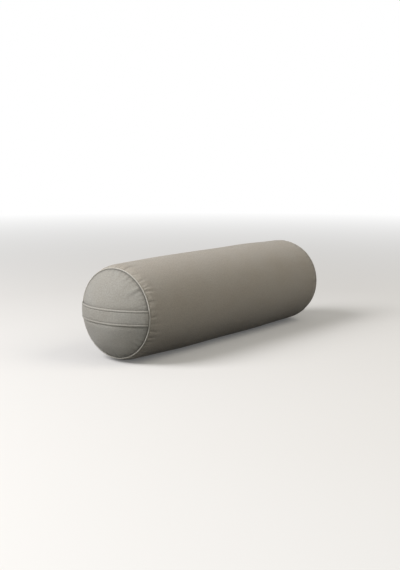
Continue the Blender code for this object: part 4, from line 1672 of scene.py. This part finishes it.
def rounded_outline(corners):
    """A closed outline from (x, y, radius) corners, with each corner turned into an arc."""
    outline = []
    for number, (x, y, radius) in enumerate(corners):
        corner = np.array((x, y))
        before = np.array(corners[number - 1][:2]) - corner
        after = np.array(corners[(number + 1) % len(corners)][:2]) - corner
        before /= np.linalg.norm(before)
        after /= np.linalg.norm(after)
        half = math.acos(float(np.clip(before @ after, -1.0, 1.0))) / 2
        reach = radius / math.tan(half)
        for share in np.linspace(0.0, 1.0, CORNER_STEPS):
            weights = ((1 - share) ** 2, share**2)
            outline.append(corner + reach * (weights[0] * before + weights[1] * after))
    return outline


def cast_plate(outline, holes, low, high, edge):
    """Points in millimetres and faces of a plate from low to high, with holes and rounded edges."""
    curve = bpy.data.curves.new("plate", "CURVE")
    curve.dimensions = "2D"
    curve.fill_mode = "BOTH"
    curve.extrude = (high - low) / 2 - edge
    curve.bevel_depth = edge
    curve.bevel_resolution = 2
    curve.offset = -edge
    for loop in [outline] + [hole[::-1] for hole in holes]:
        spline = curve.splines.new("POLY")
        spline.points.add(len(loop) - 1)
        for point, (x, y) in zip(spline.points, loop):
            point.co = (x, y, 0.0, 1.0)
        spline.use_cyclic_u = True
    holder = bpy.data.objects.new("plate", curve)
    mesh = bpy.data.meshes.new_from_object(holder)
    points = points_of(mesh) + (0.0, 0.0, (low + high) / 2)
    faces = [list(face.vertices) for face in mesh.polygons]
    bpy.data.objects.remove(holder)
    bpy.data.curves.remove(curve)
    bpy.data.meshes.remove(mesh)
    return points, faces


# %% [markdown]
# The slider's crown is no plate but a bar that arches from one end of the slider to the other. Its
# section is carried along half a turn. Plates and bars are then joined into one mesh for each
# casting, set on the zip, and shaded smooth except over their sharp edges.

# %% Helpers for whole castings
ARCH_STEPS = 25
ARCH_ROUNDNESS = 0.75
BAR_CORNER = 0.3
SHARP_FROM = math.radians(50)


def cast_arch(reach, foot, top, width, thick):
    """A bar that arches along the zip over the slider: points in millimetres and faces."""
    turn = np.linspace(0.0, math.pi, ARCH_STEPS)
    x = -reach * np.cos(turn)
    z = foot + (top - foot) * np.sin(turn) ** ARCH_ROUNDNESS
    ahead = unit(np.stack([np.gradient(x), np.gradient(z)], -1))
    quarters = ((1, 1), (-1, 1), (-1, -1), (1, -1))
    corners = [(side * width / 2, up * thick / 2, BAR_CORNER) for side, up in quarters]
    y, up = np.array(rounded_outline(corners)).T
    points = gridded(x[:, None] - ahead[:, 1:] * up, y, z[:, None] + ahead[:, :1] * up)
    faces = faces_between(numbered(*points.shape[:2], columns_join=True))
    return points.reshape(-1, 3), faces


def cast_piece(name, parts, middle):
    """One mesh of several parts, placed on the zip with its zero at middle along it."""
    places, faces, first = [], [], 0
    for points, part_faces in parts:
        faces += [[corner + first for corner in face] for face in part_faces]
        places.append(points / 1000)
        first += len(points)
    places = np.concatenate(places)
    world = on_zip(places[:, 0] + middle, places[:, 1], places[:, 2])
    made = mesh_object(name, world, faces, places[:, :2])
    cleaned = bmesh.new()
    cleaned.from_mesh(made.data)
    bmesh.ops.remove_doubles(cleaned, verts=cleaned.verts, dist=1e-6)
    bmesh.ops.recalc_face_normals(cleaned, faces=cleaned.faces)
    cleaned.to_mesh(made.data)
    cleaned.free()
    made.data.shade_smooth()
    made.data.set_sharp_from_angle(angle=SHARP_FROM)
    return made


# %% [markdown]
# The slider has two plates with a post between them at its mouth, a flange along each side that keeps
# the coils in, and an arched crown. Heights are measured from the zip's line, out of the cloth.

# %% Cast the slider
SLIDER_LOW, SLIDER_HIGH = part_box("zip_slider")
TOP_PLATE, TOP_EDGE = (0.7, 1.5), 0.2
LOWER_PLATE, LOWER_EDGE = (-2.9, -2.3), 0.15
FLANGES = ((-3.9, 4.2, 2.95, 3.5, 0.15), (-3.9, 4.2, -3.5, -2.95, 0.15))
FLANGE_HEIGHTS, FLANGE_EDGE = (-1.2, 0.9), 0.08
POST = (-3.6, -0.6, -0.25, 0.25, 0.2)
POST_HEIGHTS, POST_EDGE = (-2.4, 0.8), 0.04
PLATE_CORNERS = (
    (-5.0, 3.55, 1.1), (-5.0, 1.5, 0.6), (-4.3, 0.0, 0.5), (-5.0, -1.5, 0.6), (-5.0, -3.55, 1.1),
    (5.0, -3.45, 0.9), (5.0, 3.45, 0.9),
)


def box_outline(low_x, high_x, low_y, high_y, radius):
    """The outline of a box whose corners all have one radius."""
    corners = ((low_x, low_y), (high_x, low_y), (high_x, high_y), (low_x, high_y))
    return rounded_outline([(*corner, radius) for corner in corners])


def cast_slider():
    """The slider's plates, flanges, post and crown in one casting."""
    outline = rounded_outline(PLATE_CORNERS)
    parts = [cast_plate(outline, [], *TOP_PLATE, TOP_EDGE)]
    parts.append(cast_plate(outline, [], *LOWER_PLATE, LOWER_EDGE))
    for flange in FLANGES:
        parts.append(cast_plate(box_outline(*flange), [], *FLANGE_HEIGHTS, FLANGE_EDGE))
    parts.append(cast_plate(box_outline(*POST), [], *POST_HEIGHTS, POST_EDGE))
    parts.append(cast_arch(reach=3.2, foot=1.3, top=4.1, width=1.6, thick=0.8))
    slider = cast_piece("zip_slider_casting", parts, (SLIDER_LOW.x + SLIDER_HIGH.x) / 2)
    place_piece(slider, NICKEL_PLATE, "zip_metal", "zip_slider", "zip_slider")


cast_slider()

# %% [markdown]
# The pull hangs in the crown by its eye and is pierced at its other end. A pad on both faces gives
# the fingers a grip. Its zero is the hinge, which the solids' joint gives.

# %% Cast the pull
PULL_LOW, PULL_HIGH, PULL_EDGE = 2.1, 3.1, 0.22
EYE = (0.5, 4.7, -1.3, 1.3, 0.5)
END_HOLE = (19.4, 23.2, -1.2, 1.2, 1.1)
PAD, PAD_RISE = (10.6, 17.6, -1.6, 1.6, 1.3), 0.12
PULL_CORNERS = (
    (-0.5, 2.1, 0.6), (-0.5, -2.1, 0.6), (5.4, -2.3, 1.6), (8.2, -1.7, 1.8), (12.0, -2.9, 2.4),
    (25.5, -2.9, 2.8), (25.5, 2.9, 2.8), (12.0, 2.9, 2.4), (8.2, 1.7, 1.8), (5.4, 2.3, 1.6),
)


def cast_pull():
    """The pull's tab, with its eye and its hole, and the pad on it."""
    holes = [box_outline(*EYE), box_outline(*END_HOLE)]
    tab = cast_plate(rounded_outline(PULL_CORNERS), holes, PULL_LOW, PULL_HIGH, PULL_EDGE)
    pad = cast_plate(box_outline(*PAD), [], PULL_LOW - PAD_RISE, PULL_HIGH + PAD_RISE, PAD_RISE)
    pull = cast_piece("zip_pull_casting", [tab, pad], swing["pos_m"][0])
    place_piece(pull, NICKEL_PLATE, "zip_metal", "zip_pull", "zip_pull")


cast_pull()

# %% [markdown]
# ## The liner and the filling
# Under the cover a calico bag holds the filling: a tube and two rounds. Inside it a layer of batting
# is rolled round a firm foam core, and a wad of batting fills each domed end. Nobody sees them until
# the zip is opened, so they stay simple, but they are still cloth and fibre with their own unevenness.
# Each is a closed section turned about the axis, read off its solid's own box.

# %% Helper for the layers inside
LAYER_STEPS = 96
LAYER_LUMP_SIZE = 0.08
LUMP_DROP = 1.6
LUMP_RISE = 0.004
LAYER_CLEARANCE = 0.0002


def turned_layer(name, section, lumps=0.0, seed=0, keep_inside=0.0):
    """Turns a closed section about the axis. Its lumps go inwards, and none are inside a radius."""
    section = np.asarray(section, float)
    turn = np.linspace(0.0, math.tau, LAYER_STEPS, endpoint=False)[:, None]
    grid = about_axis(section[:, 0], section[:, 1], turn)
    points = grid.reshape(-1, 3)
    dents = (soft_lumps(points, LAYER_LUMP_SIZE, lumps, seed) - LUMP_DROP * lumps) / TUBE_RADIUS
    outer = np.tile(ease(section[:, 1], keep_inside, keep_inside + LUMP_RISE), LAYER_STEPS)
    points = turned_out(points, dents * outer)
    lowest = TUBE_RADIUS - section[:, 1].max() + LAYER_CLEARANCE
    points[:, 2] = np.maximum(points[:, 2], lowest)
    return ring_object(name, points.reshape(grid.shape), gridded(run_round(section), turn * TUBE_RADIUS))


# %% [markdown]
# The liner's sleeve and the batting follow the tube at their own depth under it. The solids there
# have flat faces, and the zip's slider runs over one of them, so the round layers keep to the flats
# and not to the corners.

# %% Make the long layers
FLAT_SHARE = math.cos(math.pi / TUBE_FACES)
LAYER_POWER = 3.0
SHOULDER_STEPS = 14
MIDDLE_STEPS = 9
CALICO = 0.0006
LINER_RADIUS = FLAT_SHARE * half_width("liner_sleeve")
LINER_RIM = half_width("liner_left_end")
LINER_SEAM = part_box("liner_sleeve")[1].x
WRAP_RADIUS = FLAT_SHARE * half_width("batting_wrap")
CORE_RADIUS = half_width("foam_core")
CORE_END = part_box("foam_core")[1].x
CORE_EDGE = 0.002
NEAR_AXIS = 0.0002


def layer_outside(end, middle, rim):
    """A layer's outline along the bolster, with shoulders as long as the cover's."""
    shoulder = end - np.linspace(0.0, SHOULDER_LENGTH, SHOULDER_STEPS)[::-1]
    between = np.linspace(-shoulder[0], shoulder[0], MIDDLE_STEPS)[1:-1]
    x = np.concatenate([-shoulder[::-1], between, shoulder])
    inward = np.clip(SEAM_PLACE - np.abs(x), 0.0, SHOULDER_LENGTH)
    full = middle - waist(x)
    return np.stack([x, full - (full - rim) * (1 - inward / SHOULDER_LENGTH) ** LAYER_POWER], -1)


def make_sleeve():
    """The liner's calico tube."""
    outside = layer_outside(LINER_SEAM, LINER_RADIUS, LINER_RIM)
    section = np.vstack([outside, outside[::-1] - (0.0, CALICO)])
    sleeve = turned_layer("liner_sleeve_calico", section, lumps=0.0003, seed=21, keep_inside=0.08)
    place_piece(sleeve, CALICO_CLOTH, "calico", "root", "liner_sleeve")


def make_wrap():
    """The batting that is rolled round the core."""
    outside = layer_outside(CORE_END, WRAP_RADIUS, LINER_RIM - CALICO - 0.002)
    bore = CORE_RADIUS + SEAM_GAP
    section = np.vstack([outside, [(CORE_END, bore), (-CORE_END, bore)]])
    lumpy_from = CORE_RADIUS + 0.004
    wrap = turned_layer("batting_layer", section, lumps=0.0008, seed=22, keep_inside=lumpy_from)
    place_piece(wrap, BATTING_FIBRE, "batting", "root", "batting_wrap")


def make_core():
    """The foam core, with its edges slightly cut off and a hair-thin hole along its axis."""
    shoulder, edge = CORE_END - CORE_EDGE, CORE_RADIUS - CORE_EDGE
    section = [(-shoulder, CORE_RADIUS), (shoulder, CORE_RADIUS), (CORE_END, edge)]
    section += [(CORE_END, NEAR_AXIS), (-CORE_END, NEAR_AXIS), (-CORE_END, edge)]
    core = turned_layer("foam_roll", section)
    place_piece(core, FOAM_CELLS, "foam", "root", "foam_core")


make_sleeve()
make_wrap()
make_core()

# %% [markdown]
# Each end has a calico round and a wad of batting under it. Both follow the dome of the cover, and
# the wad is flat where it meets the core. Their tops are lower than the solids' by the depth of the
# channel that the strap presses into the cover.

# %% Make the layers of the ends
DOME_STEPS = 14
LINER_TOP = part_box("liner_right_end")[1].x - CHANNEL_DEPTH
PAD_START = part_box("right_end_pad")[0].x
PAD_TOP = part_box("right_end_pad")[1].x - CHANNEL_DEPTH


def dome_section(rim, base, top):
    """A dome's outline from its middle to its rim."""
    share = np.sin(np.linspace(0.0, math.pi / 2, DOME_STEPS))
    share[0] = 0.002
    return np.stack([base + (top - base) * dome_height(share), rim * share], -1)


def make_inside_end(side):
    """The calico round of one end and the wad of batting under it."""
    end = ENDS[side]
    base = LINER_SEAM + SEAM_GAP
    over = dome_section(LINER_RIM, base, LINER_TOP)
    under = dome_section(LINER_RIM - CALICO, base, LINER_TOP - CALICO)[::-1]
    section = np.vstack([over, under]) * (side, 1.0)
    cap = turned_layer(end + "_liner_round", section)
    place_piece(cap, CALICO_CLOTH, "calico", "root", f"liner_{end}_end")
    rim = LINER_RIM - CALICO - SEAM_GAP
    pad = dome_section(rim, base, PAD_TOP)
    section = np.vstack([pad, [(PAD_START, rim), (PAD_START, NEAR_AXIS)]]) * (side, 1.0)
    wad = turned_layer(end + "_batting_wad", section)
    place_piece(wad, BATTING_FIBRE, "batting", "root", end + "_end_pad")


for side in ENDS:
    make_inside_end(side)
